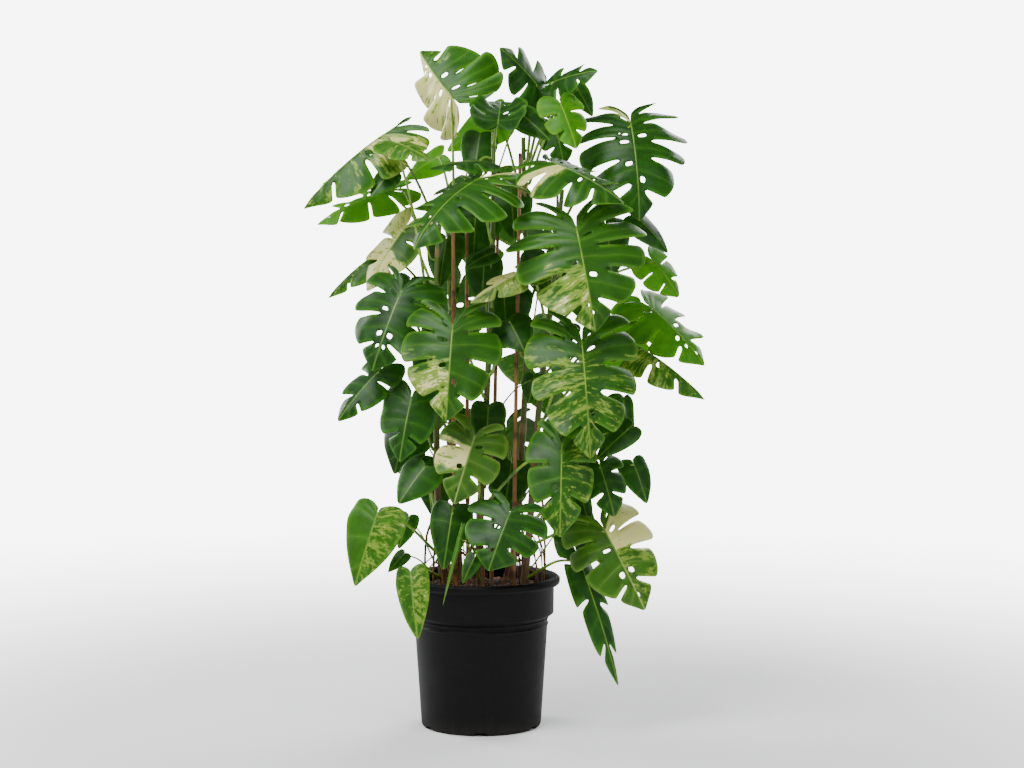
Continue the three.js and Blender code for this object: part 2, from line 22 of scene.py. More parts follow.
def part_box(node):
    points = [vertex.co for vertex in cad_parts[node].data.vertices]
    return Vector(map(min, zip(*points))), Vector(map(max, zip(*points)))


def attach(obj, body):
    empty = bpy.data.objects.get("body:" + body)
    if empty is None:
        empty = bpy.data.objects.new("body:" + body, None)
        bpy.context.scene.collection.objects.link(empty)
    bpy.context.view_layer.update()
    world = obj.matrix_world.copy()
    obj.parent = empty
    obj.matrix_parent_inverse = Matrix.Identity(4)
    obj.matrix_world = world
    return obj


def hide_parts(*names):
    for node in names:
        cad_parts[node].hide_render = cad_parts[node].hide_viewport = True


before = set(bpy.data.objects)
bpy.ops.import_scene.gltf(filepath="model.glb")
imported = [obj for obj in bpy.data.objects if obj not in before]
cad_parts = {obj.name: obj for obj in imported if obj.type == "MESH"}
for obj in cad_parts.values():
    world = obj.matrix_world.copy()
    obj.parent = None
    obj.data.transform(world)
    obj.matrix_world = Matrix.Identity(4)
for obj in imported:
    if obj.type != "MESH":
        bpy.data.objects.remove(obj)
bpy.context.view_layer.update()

MM = 0.001
UP = Vector((0.0, 0.0, 1.0))
BODY = "root"
WELD = 0.01 * MM
Triple = tuple[float, float, float]
SOIL_LEVEL = 368 * MM
log = logging.getLogger("monstera")


# Small tools


def scatter(seed: float, place: float) -> float:
    """Gives a repeatable number from 0 to 1.

    Args:
        seed: What the number is for, such as a leaf's number.
        place: Which of its numbers this is.

    Returns:
        The number, always the same for the same seed and place.
    """
    wave = math.sin(seed * 12.9898 + place * 78.233) * 43758.5453
    return wave - math.floor(wave)


def ramp(value: float, start: float, end: float) -> float:
    """Rises smoothly from 0 at start to 1 at end.

    Args:
        value: The place on the way.
        start: Where the rise begins.
        end: Where the rise ends.

    Returns:
        The height of the rise at value, from 0 to 1.
    """
    share = min(1.0, max(0.0, (value - start) / (end - start)))
    return share * share * (3 - 2 * share)


def linear(colour: str) -> tuple[float, float, float, float]:
    """Turns an sRGB hex colour into the linear colour that a shader takes.

    Args:
        colour: Six hex digits, such as "2f5d1e".

    Returns:
        Red, green, blue and a full alpha.
    """
    parts = [int(colour[i : i + 2], 16) / 255 for i in (0, 2, 4)]
    red, green, blue = [c / 12.92 if c <= 0.04045 else ((c + 0.055) / 1.055) ** 2.4 for c in parts]
    return red, green, blue, 1.0


def millimetres(values: Sequence[float]) -> Vector:
    """Makes a vector in metres from numbers in millimetres."""
    return Vector(values) * MM


def heading(turn: float) -> Vector:
    """Points level, turned from the X axis by an angle in radians."""
    return Vector((math.cos(turn), math.sin(turn), 0))


def smooth_path(points: Sequence[Vector], steps: int) -> list[Vector]:
    """Draws a centripetal Catmull-Rom curve through points.

    Args:
        points: The points that the curve passes through.
        steps: How many equal stretches the curve is cut into.

    Returns:
        The steps + 1 evenly spaced points of the curve.
    """
    fine = 24
    ahead = points[0] * 2 - points[1]
    beyond = points[-1] * 2 - points[-2]
    held = [ahead, *points, beyond]
    dense = [points[0].copy()]
    for p0, p1, p2, p3 in zip(held, held[1:], held[2:], held[3:]):
        d0, d1, d2 = [max(1e-6, (b - a).length ** 0.5) for a, b in ((p0, p1), (p1, p2), (p2, p3))]
        leave = ((p1 - p0) / d0 - (p2 - p0) / (d0 + d1) + (p2 - p1) / d1) * d1
        arrive = ((p2 - p1) / d1 - (p3 - p1) / (d1 + d2) + (p3 - p2) / d2) * d1
        for i in range(1, fine + 1):
            t = i / fine
            dense.append(
                p1 * (2 * t**3 - 3 * t**2 + 1)
                + leave * (t**3 - 2 * t**2 + t)
                + p2 * (3 * t**2 - 2 * t**3)
                + arrive * (t**3 - t**2)
            )
    run = [0.0]
    for a, b in zip(dense, dense[1:]):
        run.append(run[-1] + (b - a).length)
    path = []
    j = 0
    for i in range(steps + 1):
        wanted = run[-1] * i / steps
        while j < len(run) - 2 and run[j + 1] < wanted:
            j += 1
        share = (wanted - run[j]) / max(1e-9, run[j + 1] - run[j])
        path.append(dense[j].lerp(dense[j + 1], share))
    return path


def sweep(
    bm: BMesh,
    path: Sequence[Vector],
    radius_at: Callable[[float], float],
    sides: int,
    material: int = 0,
    mark_at: Callable[[float], float] | None = None,
) -> None:
    """Draws a closed round tube along a path: a circle is extruded ring by ring onto the path's points.

    Args:
        bm: The mesh that the tube is added to.
        path: The points of its middle line.
        radius_at: The radius for a place from 0 at the start to 1 at the end.
        sides: How many sides the tube has.
        material: The index of its finish.
        mark_at: The strength of the finish's marks for the same places, kept in the layer "mark".
    """
    marks = bm.verts.layers.float.get("mark") or bm.verts.layers.float.new("mark")
    steps = len(path) - 1
    before = set(bm.faces)
    tangents = [(path[min(i + 1, steps)] - path[max(i - 1, 0)]).normalized() for i in range(steps + 1)]
    turn = UP.rotation_difference(tangents[0]).to_matrix()
    places = []
    for i, point in enumerate(path):
        turn = tangents[max(i - 1, 0)].rotation_difference(tangents[i]).to_matrix() @ turn
        radius = radius_at(i / steps)
        size = Matrix.Diagonal((radius, radius, radius, 1.0))
        places.append(Matrix.Translation(point) @ turn.to_4x4() @ size)
    ring = bmesh.ops.create_circle(bm, cap_ends=True, segments=sides, radius=1.0, matrix=places[0])["verts"]
    edges = list({edge for vert in ring for edge in vert.link_edges})
    for i in range(steps + 1):
        if i:
            grown = bmesh.ops.extrude_edge_only(bm, edges=edges)["geom"]
            ring = [item for item in grown if isinstance(item, BMVert)]
            edges = [item for item in grown if isinstance(item, BMEdge)]
            bmesh.ops.transform(bm, matrix=places[i] @ places[i - 1].inverted(), verts=ring)
        for vert in ring:
            vert[marks] = mark_at(i / steps) if mark_at else 0.0
    bmesh.ops.contextual_create(bm, geom=edges)
    faces = [face for face in bm.faces if face not in before]
    bmesh.ops.recalc_face_normals(bm, faces=faces)
    for face in faces:
        face.material_index = material
        face.smooth = len(face.verts) < 5


def turned(profile: Sequence[tuple[float, float]], sides: int) -> BMesh:
    """Turns a half section round the upright axis into a closed shell.

    Args:
        profile: The distance from the axis and the height of each of its corners.
        sides: How many steps the turn takes.

    Returns:
        The shell.
    """
    bm = bmesh.new()
    corners = [bm.verts.new((radius, 0.0, height)) for radius, height in profile]
    section = [bm.edges.new(pair) for pair in zip(corners, corners[1:])]
    turn = {"cent": (0, 0, 0), "axis": UP, "angle": 2 * math.pi, "steps": sides, "use_merge": True}
    bmesh.ops.spin(bm, geom=corners + section, **turn)
    bmesh.ops.remove_doubles(bm, verts=bm.verts, dist=WELD)
    bmesh.ops.recalc_face_normals(bm, faces=bm.faces)
    return bm


def linked(name: str, data: ID) -> Object:
    """Makes an object of a mesh, a lamp or a lens, and links it to the scene.

    Args:
        name: The object's name.
        data: What it shows.

    Returns:
        The object.
    """
    made = bpy.data.objects.new(name, data)
    bpy.context.scene.collection.objects.link(made)
    return made


# Nodes and finishes

MIX_FACTOR, MIX_A, MIX_B, MIX_RESULT = 0, 6, 7, 2
EVEN = (1.0, 1.0, 1.0)
WHITE_BACKDROP = "f4f5f6"
BACKDROP_STRENGTH = 8.0
LEAF_LAYERS = ("rib", "vein", "edge", "pale", "youth")


def add_node(
    tree: NodeTree, kind: str, inputs: dict | None = None, **settings: object
) -> Node:
    """Adds one node to a material, with its settings and its links.

    Args:
        tree: The material's node tree.
        kind: The node's type without its "ShaderNode".
        inputs: A value or a socket to link for each input, by its name or its number.
        **settings: The node's own settings by name.

    Returns:
        The new node.
    """
    node = tree.nodes.new("ShaderNode" + kind)
    for name, value in settings.items():
        setattr(node, name, value)
    for name, value in (inputs or {}).items():
        if isinstance(value, NodeSocket):
            tree.links.new(value, node.inputs[name])
        else:
            node.inputs[name].default_value = value
    return node


def blend(
    tree: NodeTree,
    share: NodeSocket | float,
    under: NodeSocket | tuple,
    over: NodeSocket | tuple,
    way: str = "MIX",
) -> NodeSocket:
    """Lays one colour over another.

    Args:
        tree: The material's node tree.
        share: How much of the upper colour shows, from 0 to 1.
        under: The lower colour.
        over: The upper colour.
        way: How they mix, as Blender names it.

    Returns:
        The mixed colour's socket.
    """
    inputs = {MIX_FACTOR: share, MIX_A: under, MIX_B: over}
    return add_node(tree, "Mix", inputs, data_type="RGBA", blend_type=way).outputs[MIX_RESULT]


def mask(
    tree: NodeTree,
    value: NodeSocket,
    start: float,
    end: float,
    low: float = 0.0,
    high: float = 1.0,
) -> NodeSocket:
    """Turns a value into a soft mask.

    Args:
        tree: The material's node tree.
        value: What is measured.
        start: The value where the mask is low.
        end: The value where the mask is high.
        low: The mask at and below start.
        high: The mask at and beyond end.

    Returns:
        The mask's socket.
    """
    inputs = {"Value": value, "From Min": start, "From Max": end, "To Min": low, "To Max": high}
    return add_node(tree, "MapRange", inputs, interpolation_type="SMOOTHSTEP").outputs[0]


def cloud(
    tree: NodeTree,
    where: NodeSocket,
    grain: float,
    detail: float = 4.0,
    rough: float = 0.55,
    stretch: Triple = EVEN,
) -> NodeSocket:
    """Adds a noise pattern.

    Args:
        tree: The material's node tree.
        where: The coordinates that it lies on.
        grain: The size of its patches, in the coordinates' own unit.
        detail: How many finer layers it has.
        rough: How strong the finer layers are.
        stretch: How many times longer a patch is along each axis.

    Returns:
        The pattern's socket, from 0 to 1 around 0.5.
    """
    scale = tuple(1.0 / (grain * part) for part in stretch)
    placed = add_node(tree, "Mapping", {"Vector": where, "Scale": scale}).outputs[0]
    inputs = {"Vector": placed, "Scale": 1.0, "Detail": detail, "Roughness": rough}
    return add_node(tree, "TexNoise", inputs).outputs["Fac"]


def total(tree: NodeTree, *terms: tuple[NodeSocket, float]) -> NodeSocket:
    """Adds up sockets, each times its own weight.

    Args:
        tree: The material's node tree.
        *terms: A socket and its weight for each term.

    Returns:
        The sum's socket.
    """
    first, weight = terms[0]
    summed = add_node(tree, "Math", {0: first, 1: weight}, operation="MULTIPLY").outputs[0]
    for socket, weight in terms[1:]:
        inputs = {0: socket, 1: weight, 2: summed}
        summed = add_node(tree, "Math", inputs, operation="MULTIPLY_ADD").outputs[0]
    return summed


def relief(
    tree: NodeTree, height: NodeSocket, depth: float, strength: float
) -> NodeSocket:
    """Turns a height pattern into a bumped normal.

    Args:
        tree: The material's node tree.
        height: The pattern.
        depth: How deep its whole range is, in metres.
        strength: How much of it shows, from 0 to 1.

    Returns:
        The normal's socket.
    """
    inputs = {"Height": height, "Distance": depth, "Strength": strength}
    return add_node(tree, "Bump", inputs).outputs["Normal"]


def object_place(tree: NodeTree) -> NodeSocket:
    """Gives the socket of a piece's own coordinates, in metres."""
    return add_node(tree, "TexCoord").outputs["Object"]


@dataclass(frozen=True)
class Finish:
    """A procedural finish, built once and shared by the pieces that wear it."""

    name: str

    def material(self) -> Material:
        """Builds the finish's material, or finds it where it is already built.

        Returns:
            The material.
        """
        made = bpy.data.materials.get(self.name)
        if made is None:
            made = bpy.data.materials.new(self.name)
            made.use_nodes = True
            made.node_tree.nodes.clear()
            surface = self.shade(made.node_tree)
            add_node(made.node_tree, "OutputMaterial", {"Surface": surface})
        return made

    def shade(self, tree: NodeTree) -> NodeSocket:
        """Builds the finish's nodes and returns its shader's socket."""
        raise NotImplementedError


@dataclass(frozen=True)
class MouldedPolypropylene(Finish):
    """Black polypropylene from a mould: a satin skin, faint flow streaks, and dust that settles low."""

    black: str = "0c0c0c"
    dust: str = "37342f"
    scuff: str = "56554f"
    dust_height: float = 0.06
    dustiness: float = 0.5
    scuffing: float = 0.08
    smoothest: float = 0.42
    shine: float = 0.12
    plastic_index: float = 1.49

    def shade(self, tree: NodeTree) -> NodeSocket:
        """Builds the finish's nodes.

        Args:
            tree: The material's node tree.

        Returns:
            The shader's socket.
        """
        where = object_place(tree)
        height = add_node(tree, "SeparateXYZ", {0: where}).outputs["Z"]
        blotches = cloud(tree, where, 60 * MM)
        scuffs = cloud(tree, where, 5 * MM, 6.0, 0.7, (1.0, 1.0, 6.0))
        low = mask(tree, height, self.dust_height, 0.0)
        dusty = total(tree, (low, 0.4), (blotches, 0.45), (scuffs, 0.35))
        dusted = mask(tree, dusty, 0.42, 1.05, 0.0, self.dustiness)
        colour = blend(tree, dusted, linear(self.black), linear(self.dust))
        scuffed = mask(tree, scuffs, 0.58, 0.78, 0.0, self.scuffing)
        colour = blend(tree, scuffed, colour, linear(self.scuff))
        rough = total(tree, (blotches, 0.16), (scuffs, 0.14), (low, 0.12))
        rough = add_node(tree, "Math", {0: rough, 1: self.smoothest}).outputs[0]
        skin = total(tree, (cloud(tree, where, 1.2 * MM, 3.0), 0.3), (scuffs, 0.7))
        inputs = {
            "Base Color": colour,
            "Roughness": rough,
            "IOR": self.plastic_index,
            "Specular IOR Level": self.shine,
            "Normal": relief(tree, skin, 0.25 * MM, 0.35),
        }
        return add_node(tree, "BsdfPrincipled", inputs).outputs[0]


class Pattern(NamedTuple):
    """A pattern of a skin: its grain, its finer layers, their strength, its stretch and its weight."""

    grain: float
    detail: float
    rough: float
    stretch: Triple
    weight: float


class Rings(NamedTuple):
    """A skin's rings: the marks where they begin and where they are full, their strength and colour."""

    start: float
    end: float
    strength: float
    colour: str


class Ageing(NamedTuple):
    """How a skin ages downwards: the heights where it is young and where it is old, and the weight."""

    young: float
    old: float
    weight: float


@dataclass(frozen=True)
class GrainedSkin(Finish):
    """A skin with one tone laid over another by its patterns. The first pattern is also its relief."""

    under: str
    over: str
    patterns: tuple[Pattern, ...]
    tones: tuple[float, float]
    roughness: float
    depth: float
    strength: float
    rings: Rings | None = None
    ageing: Ageing | None = None

    def shade(self, tree: NodeTree) -> NodeSocket:
        """Builds the finish's nodes.

        Args:
            tree: The material's node tree.

        Returns:
            The shader's socket.
        """
        where = object_place(tree)
        layers = [cloud(tree, where, *pattern[:-1]) for pattern in self.patterns]
        terms = [(layer, pattern.weight) for layer, pattern in zip(layers, self.patterns)]
        if self.ageing:
            height = add_node(tree, "SeparateXYZ", {0: where}).outputs["Z"]
            terms.append((mask(tree, height, self.ageing.young, self.ageing.old), self.ageing.weight))
        tone = total(tree, *terms)
        colour = blend(tree, mask(tree, tone, *self.tones), linear(self.under), linear(self.over))
        if self.rings:
            mark = add_node(tree, "Attribute", attribute_name="mark").outputs["Fac"]
            share = mask(tree, mark, self.rings.start, self.rings.end, 0.0, self.rings.strength)
            colour = blend(tree, share, colour, linear(self.rings.colour))
        inputs = {
            "Base Color": colour,
            "Roughness": self.roughness,
            "Normal": relief(tree, layers[0], self.depth, self.strength),
        }
        return add_node(tree, "BsdfPrincipled", inputs).outputs[0]


@dataclass(frozen=True)
class CoirCompost(GrainedSkin):
    """Damp potting compost of coir and composted bark: dark brown crumbs with paler fibres on top."""

    under: str = "1b110a"
    over: str = "4a3020"
    patterns: tuple[Pattern, ...] = (
        Pattern(4 * MM, 6.0, 0.65, EVEN, 0.75),
        Pattern(40 * MM, 4.0, 0.55, EVEN, 0.35),
    )
    tones: tuple[float, float] = (0.42, 0.72)
    roughness: float = 0.92
    depth: float = 2.5 * MM
    strength: float = 0.9


@dataclass(frozen=True)
class SplitBark(GrainedSkin):
    """Bark chips and coir fibres: orange-brown, dry and split along the grain."""

    under: str = "3a2214"
    over: str = "8a5a33"
    patterns: tuple[Pattern, ...] = (
        Pattern(2.5 * MM, 5.0, 0.6, (1.0, 4.0, 1.0), 0.5),
        Pattern(14 * MM, 4.0, 0.55, EVEN, 0.6),
    )
    tones: tuple[float, float] = (0.4, 0.7)
    roughness: float = 0.85
    depth: float = 0.8 * MM
    strength: float = 0.7


@dataclass(frozen=True)
class TonkinBamboo(GrainedSkin):
    """Dried bamboo cane: a glossy golden-brown rind with lengthwise grain and dark rings at its joints."""

    under: str = "a8743c"
    over: str = "6f4622"
    patterns: tuple[Pattern, ...] = (
        Pattern(1.2 * MM, 3.0, 0.6, (1.0, 1.0, 40.0), 0.45),
        Pattern(30 * MM, 3.0, 0.6, (1.0, 1.0, 3.0), 0.65),
    )
    tones: tuple[float, float] = (0.42, 0.72)
    roughness: float = 0.42
    depth: float = 0.3 * MM
    strength: float = 0.5
    rings: Rings | None = Rings(0.3, 0.9, 0.75, "3f2916")


@dataclass(frozen=True)
class ClimbingBark(GrainedSkin):
    """A climbing stem's skin: green where it is young, corky brown where it ages, ringed by leaf scars."""

    under: str = "55702a"
    over: str = "6b5433"
    patterns: tuple[Pattern, ...] = (
        Pattern(2.5 * MM, 4.0, 0.65, (1.0, 1.0, 3.0), 0.2),
        Pattern(26 * MM, 5.0, 0.6, (1.0, 1.0, 3.5), 0.55),
    )
    tones: tuple[float, float] = (0.42, 0.85)
    roughness: float = 0.5
    depth: float = 0.8 * MM
    strength: float = 0.6
    rings: Rings | None = Rings(0.25, 0.8, 0.8, "8c7346")
    ageing: Ageing | None = Ageing(1.25, 0.4, 0.5)


@dataclass(frozen=True)
class AerialRoot(GrainedSkin):
    """A climbing root that has dried in the air: orange-brown, with a dull corky skin."""

    under: str = "96683a"
    over: str = "4d301a"
    patterns: tuple[Pattern, ...] = (Pattern(14 * MM, 5.0, 0.65, (1.0, 1.0, 2.5), 1.0),)
    tones: tuple[float, float] = (0.35, 0.65)
    roughness: float = 0.75
    depth: float = 0.8 * MM
    strength: float = 0.6


@dataclass(frozen=True)
class LivingStalk(Finish):
    """A leaf stalk and the rib that it runs on in: smooth, firm and yellow-green, with fine pale flecks."""

    skin: str = "86ad33"
    shade_side: str = "557d1c"
    fleck: str = "c8d47c"
    fleck_strength: float = 0.45
    roughness: float = 0.36

    def shade(self, tree: NodeTree) -> NodeSocket:
        """Builds the finish's nodes.

        Args:
            tree: The material's node tree.

        Returns:
            The shader's socket.
        """
        where = object_place(tree)
        patches = cloud(tree, where, 35 * MM, 3.0, 0.5, (1.0, 1.0, 2.5))
        flecks = cloud(tree, where, 1.6 * MM, 2.0, 0.5, (1.0, 1.0, 4.0))
        colour = blend(tree, mask(tree, patches, 0.35, 0.65), linear(self.skin), linear(self.shade_side))
        flecked = mask(tree, flecks, 0.6, 0.72, 0.0, self.fleck_strength)
        colour = blend(tree, flecked, colour, linear(self.fleck))
        inputs = {"Base Color": colour, "Roughness": self.roughness}
        return add_node(tree, "BsdfPrincipled", inputs).outputs[0]


@dataclass(frozen=True)
class LeafBlade(Finish):
    """A leathery leaf under its waxy skin: pale ribs and rims, a painted backlit glow near the margins,
    cream where it has no green.

    Light from behind shines through it yellow-green. The layers "rib", "vein" and "edge" hold how far a
    place is from the midrib, from its side vein and from the margin, in millimetres, "pale" how far it leans
    to cream, and "youth" how fresh its green is.
    """

    deep: str
    fresh: str
    # margin: fresh yellow-green for the veins and young leaves, and the painted backlight glow near the
    # margins
    margin: str
    rib: str
    glow: str
    cream: str = "f6f0a8"
    old_cream: str = "e3e286"
    lime: str = "8fae3f"
    cream_glow: str = "dfe3a0"
    vein_glow: str = "2f5a10"
    gloss: float = 0.42
    through: float = 0.3
    shine: float = 0.3
    wax: float = 0.06
    wax_gloss: float = 0.34
    leaf_index: float = 1.46
    limed: tuple[float, float] = (0.86, 0.9)
    creamed: tuple[float, float] = (0.965, 0.995)

    def shade(self, tree: NodeTree) -> NodeSocket:
        """Builds the finish's nodes.

        Args:
            tree: The material's node tree.

        Returns:
            The shader's socket.
        """
        leaf = add_node(tree, "UVMap", uv_map="leaf").outputs[0]
        rib, vein, edge, pale, youth = [
            add_node(tree, "Attribute", attribute_name=name).outputs["Fac"] for name in LEAF_LAYERS
        ]
        streaks = cloud(tree, leaf, 0.2, 4.0, 0.62, (1.0, 3.2, 1.0))
        flecks = cloud(tree, leaf, 0.06, 3.0, 0.7, (1.0, 2.4, 1.0))
        lean = total(tree, (pale, 1.0), (streaks, 0.62), (flecks, 0.34))
        without_green = mask(tree, lean, *self.creamed)
        half_green = mask(tree, lean, *self.limed)

        mottle = cloud(tree, leaf, 0.5, 4.0, 0.6)
        ribbed = mask(tree, rib, 2.8, 1.0)
        veined = mask(tree, vein, 1.3, 0.3)
        rimmed = mask(tree, edge, 1.8, 0.7)
        near_vein = mask(tree, vein, 11.0, 1.0)
        # Painted backlight glow: within 14 mm of the margin the green turns towards the margin colour.
        backlit_edge_glow = mask(tree, edge, 14.0, 1.0)
        green = blend(tree, mask(tree, mottle, 0.3, 0.7), linear(self.deep), linear(self.fresh))
        lighter = total(tree, (near_vein, 0.16), (backlit_edge_glow, 0.6), (youth, 0.35))
        green = blend(tree, lighter, green, linear(self.margin))
        green = blend(tree, half_green, green, linear(self.lime))
        green = blend(tree, total(tree, (veined, 0.3)), green, linear(self.rib))
        freckles = mask(tree, cloud(tree, leaf, 0.035, 2.0, 0.6, (1.0, 1.8, 1.0)), 0.66, 0.72, 0.0, 0.55)
        aged = mask(tree, mottle, 0.35, 0.65)
        creamy = blend(tree, aged, linear(self.cream), linear(self.old_cream))
        creamy = blend(tree, freckles, creamy, linear(self.lime))
        colour = blend(tree, without_green, green, creamy)
        colour = blend(tree, total(tree, (rimmed, 0.45)), colour, linear(self.rib))
        colour = blend(tree, total(tree, (ribbed, 0.7)), colour, linear(self.rib))
        shine_through = blend(tree, without_green, linear(self.glow), linear(self.cream_glow))
        shine_through = blend(tree, total(tree, (veined, 0.4)), shine_through, linear(self.vein_glow))

        puckers = cloud(tree, object_place(tree), 7 * MM, 3.0)
        puckers = total(tree, (puckers, 1.0), (veined, -0.9), (ribbed, -0.4))
        inputs = {
            "Base Color": colour,
            "Roughness": self.gloss,
            "IOR": self.leaf_index,
            "Specular IOR Level": self.shine,
            "Coat Weight": self.wax,
            "Coat Roughness": self.wax_gloss,
            "Normal": relief(tree, puckers, 0.8 * MM, 0.4),
        }
        surface = add_node(tree, "BsdfPrincipled", inputs).outputs[0]
        back_light = add_node(tree, "BsdfTranslucent", {"Color": shine_through}).outputs[0]
        return add_node(tree, "MixShader", {0: self.through, 1: surface, 2: back_light}).outputs[0]


@dataclass(frozen=True)
class LeafUnderside(LeafBlade):
    """The under side of the same leaf: paler and more matt, with softer highlights."""

    gloss: float = 0.55


class Look(Enum):
    """How a leaf is coloured."""

    GREEN = "leaf_green"
    # BRIGHT is a lighter green for the leaves lit from behind: its lighter colour is painted backlight
    BRIGHT = "leaf_bright"
    MARBLED = "leaf_marbled"
    CREAM = "leaf_cream"

    @property
    def lean(self) -> float:
        """How far the whole leaf leans to cream."""
        return {Look.GREEN: 0.12, Look.BRIGHT: 0.08, Look.MARBLED: 0.34, Look.CREAM: 0.56}[self]

    @property
    def finishes(self) -> tuple[LeafBlade, LeafBlade]:
        """The finishes of the upper side and the under side."""
        return LEAF_FINISHES[self]


LEAF_FINISHES = {
    Look.GREEN: (
        LeafBlade("waxy deep green leaf", "0a2808", "1a490d", "46881c", "6f9a35", "6cae18"),
        LeafUnderside("matt green leaf underside", "244f19", "33661f", "5c8c28", "98b650", "78b61f"),
    ),
    # A lighter copy of the green leaf for the leaves lit from behind: painted backlight, laid over the real
    # translucency
    Look.BRIGHT: (
        LeafBlade("waxy backlit bright green leaf", "235f08", "44860f", "7cb31c", "a5c84a", "9fe01c", through=0.5),
        LeafUnderside("matt backlit bright green leaf underside", "437d16", "5a9422", "7cae30", "b4d268", "9fe01c"),
    ),
    Look.MARBLED: (
        LeafBlade("waxy marbled leaf", "0e370a", "235a10", "5c9c1f", "8bb043", "78b81e"),
        LeafUnderside("matt marbled leaf underside", "2c5c1a", "3d7226", "689a2d", "a6be5e", "86be2a"),
    ),
    Look.CREAM: (
        LeafBlade("waxy cream leaf", "133d0c", "2c6316", "74a331", "b4c46e", "9ac436"),
        LeafUnderside("matt cream leaf underside", "3b6a26", "507f32", "8aab46", "c8d28c", "a0c943"),
    ),
}
STALK_FINISH = LivingStalk("smooth green leaf stalk")


# Pieces


def settled_mesh(name: str, bm: BMesh, finishes: Sequence[Finish] = ()) -> Mesh:
    """Makes a mesh from a working mesh, and gives it its finishes.

    Args:
        name: The mesh's name.
        bm: The working mesh, which is used up.
        finishes: Its finishes, in the order of its faces' material indices.

    Returns:
        The mesh.
    """
    mesh = bpy.data.meshes.new(name)
    bm.to_mesh(mesh)
    bm.free()
    for finish in finishes:
        mesh.materials.append(finish.material())
    return mesh


def place_piece(
    name: str,
    bm: BMesh,
    finishes: Sequence[Finish],
    nodes: Sequence[str],
) -> Object:
    """Makes a finished piece from a mesh, with its finishes, its body and its nodes.

    Args:
        name: The piece's name.
        bm: Its mesh, which is used up.
        finishes: Its finishes, in the order of its faces' material indices.
        nodes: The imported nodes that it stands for.

    Returns:
        The piece.
    """
    piece = linked(name, settled_mesh(name, bm, finishes))
    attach(piece, BODY)
    if nodes:
        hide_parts(*nodes)
    report(piece, nodes)
    return piece


def report(piece: Object, nodes: Sequence[str]) -> None:
    """Logs a piece's size in triangles, and how far it reaches outside the nodes that it stands for.

    Args:
        piece: The piece.
        nodes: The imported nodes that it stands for.
    """
    triangles = sum(len(polygon.vertices) - 2 for polygon in piece.data.polygons)
    past = 0.0
    if len(nodes) == 1:
        low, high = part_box(nodes[0])
        for vertex in piece.data.vertices:
            past = max(past, *(low - vertex.co), *(vertex.co - high))
    held = ", ".join(nodes) or "nothing"
    log.info("%s: %d triangles, %.1f mm outside %s", piece.name, triangles, past / MM, held)


@dataclass
class NurseryPot:
    """The black nursery pot: a turned shell with a rolled rim, a collar, two ridges and foot notches."""

    wall: float = 4 * MM
    collar_width: float = 0.919
    body_width: float = 0.8405
    foot_width: float = 0.757
    rim_drop: float = 22 * MM
    collar_bottom: float = 302 * MM
    ridge_heights: tuple[float, ...] = (272 * MM, 288 * MM)
    ridge_proud: float = 3 * MM
    notches: int = 6
    notch_size: Triple = (26 * MM, 30 * MM, 16 * MM)
    rounding: float = 1.2 * MM
    sharpest: float = math.radians(25)
    sides: int = 96
    finish: Finish = field(default_factory=lambda: MouldedPolypropylene("black moulded polypropylene"))

    def profile(self) -> list[tuple[float, float]]:
        """Lists the corners of the half section.

        Returns:
            Each corner's distance from the axis and its height, from the underside out, up, in and down.
        """
        low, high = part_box("pot")
        height = high.z
        rim = (high.x - low.x) / 2
        collar = rim * self.collar_width
        body = rim * self.body_width
        foot = rim * self.foot_width
        inner = collar - 3 * MM - self.wall
        outside = [(0.0, 0.0), (foot - 4 * MM, 0.0), (foot, 5 * MM), (foot + 1 * MM, 14 * MM)]
        outside.append((body, self.ridge_heights[0] - 4 * MM))
        for ridge in self.ridge_heights:
            outside += [(body + self.ridge_proud, ridge), (body, ridge + 4 * MM)]
            outside.append((body, ridge + 12 * MM))
        outside[-1] = (collar - 8 * MM, self.collar_bottom - 6 * MM)
        outside += [
            (collar, self.collar_bottom),
            (collar + 1 * MM, height - self.rim_drop - 4 * MM),
            (rim - 4 * MM, height - self.rim_drop),
            (rim, height - self.rim_drop + 5 * MM),
            (rim, height - 6 * MM),
            (rim - 7 * MM, height),
        ]
        inside = [
            (collar - 3 * MM, height - 2 * MM),
            (inner, height - 8 * MM),
            (inner, self.collar_bottom),
            (body - self.wall, self.collar_bottom - 18 * MM),
            (foot + 1 * MM - self.wall, self.wall + 8 * MM),
            (foot - 6 * MM - self.wall, self.wall),
            (0.0, self.wall),
        ]
        return outside + inside

    def shell(self) -> BMesh:
        """Turns the half section round the axis and rounds its corners.

        Returns:
            The closed shell, before its foot is notched.
        """
        bm = turned(self.profile(), self.sides)
        sharp = [e for e in bm.edges if len(e.link_faces) == 2 and e.calc_face_angle() > self.sharpest]
        rounding = {"offset": self.rounding, "segments": 2, "profile": 0.5, "affect": "EDGES"}
        bmesh.ops.bevel(bm, geom=sharp, material=-1, clamp_overlap=True, **rounding)
        return bm

    def build(self) -> Object:
        """Builds the pot and cuts its foot notches.

        Returns:
            The piece.
        """
        low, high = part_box("pot")
        foot = (high.x - low.x) / 2 * self.foot_width
        cutter = bmesh.new()
        for i in range(self.notches):
            turn = Matrix.Rotation((i + 0.5) / self.notches * 2 * math.pi, 4, "Z")
            size = Matrix.Diagonal((*self.notch_size, 1.0))
            bmesh.ops.create_cube(cutter, size=1.0, matrix=turn @ Matrix.Translation((foot, 0, 0)) @ size)
        bm = cut_away(self.shell(), cutter)
        for face in bm.faces:
            face.smooth = abs(face.normal.z) < 0.999 or face.calc_center_median().z > self.collar_bottom
        return place_piece("nursery_pot", bm, [self.finish], ["pot"])


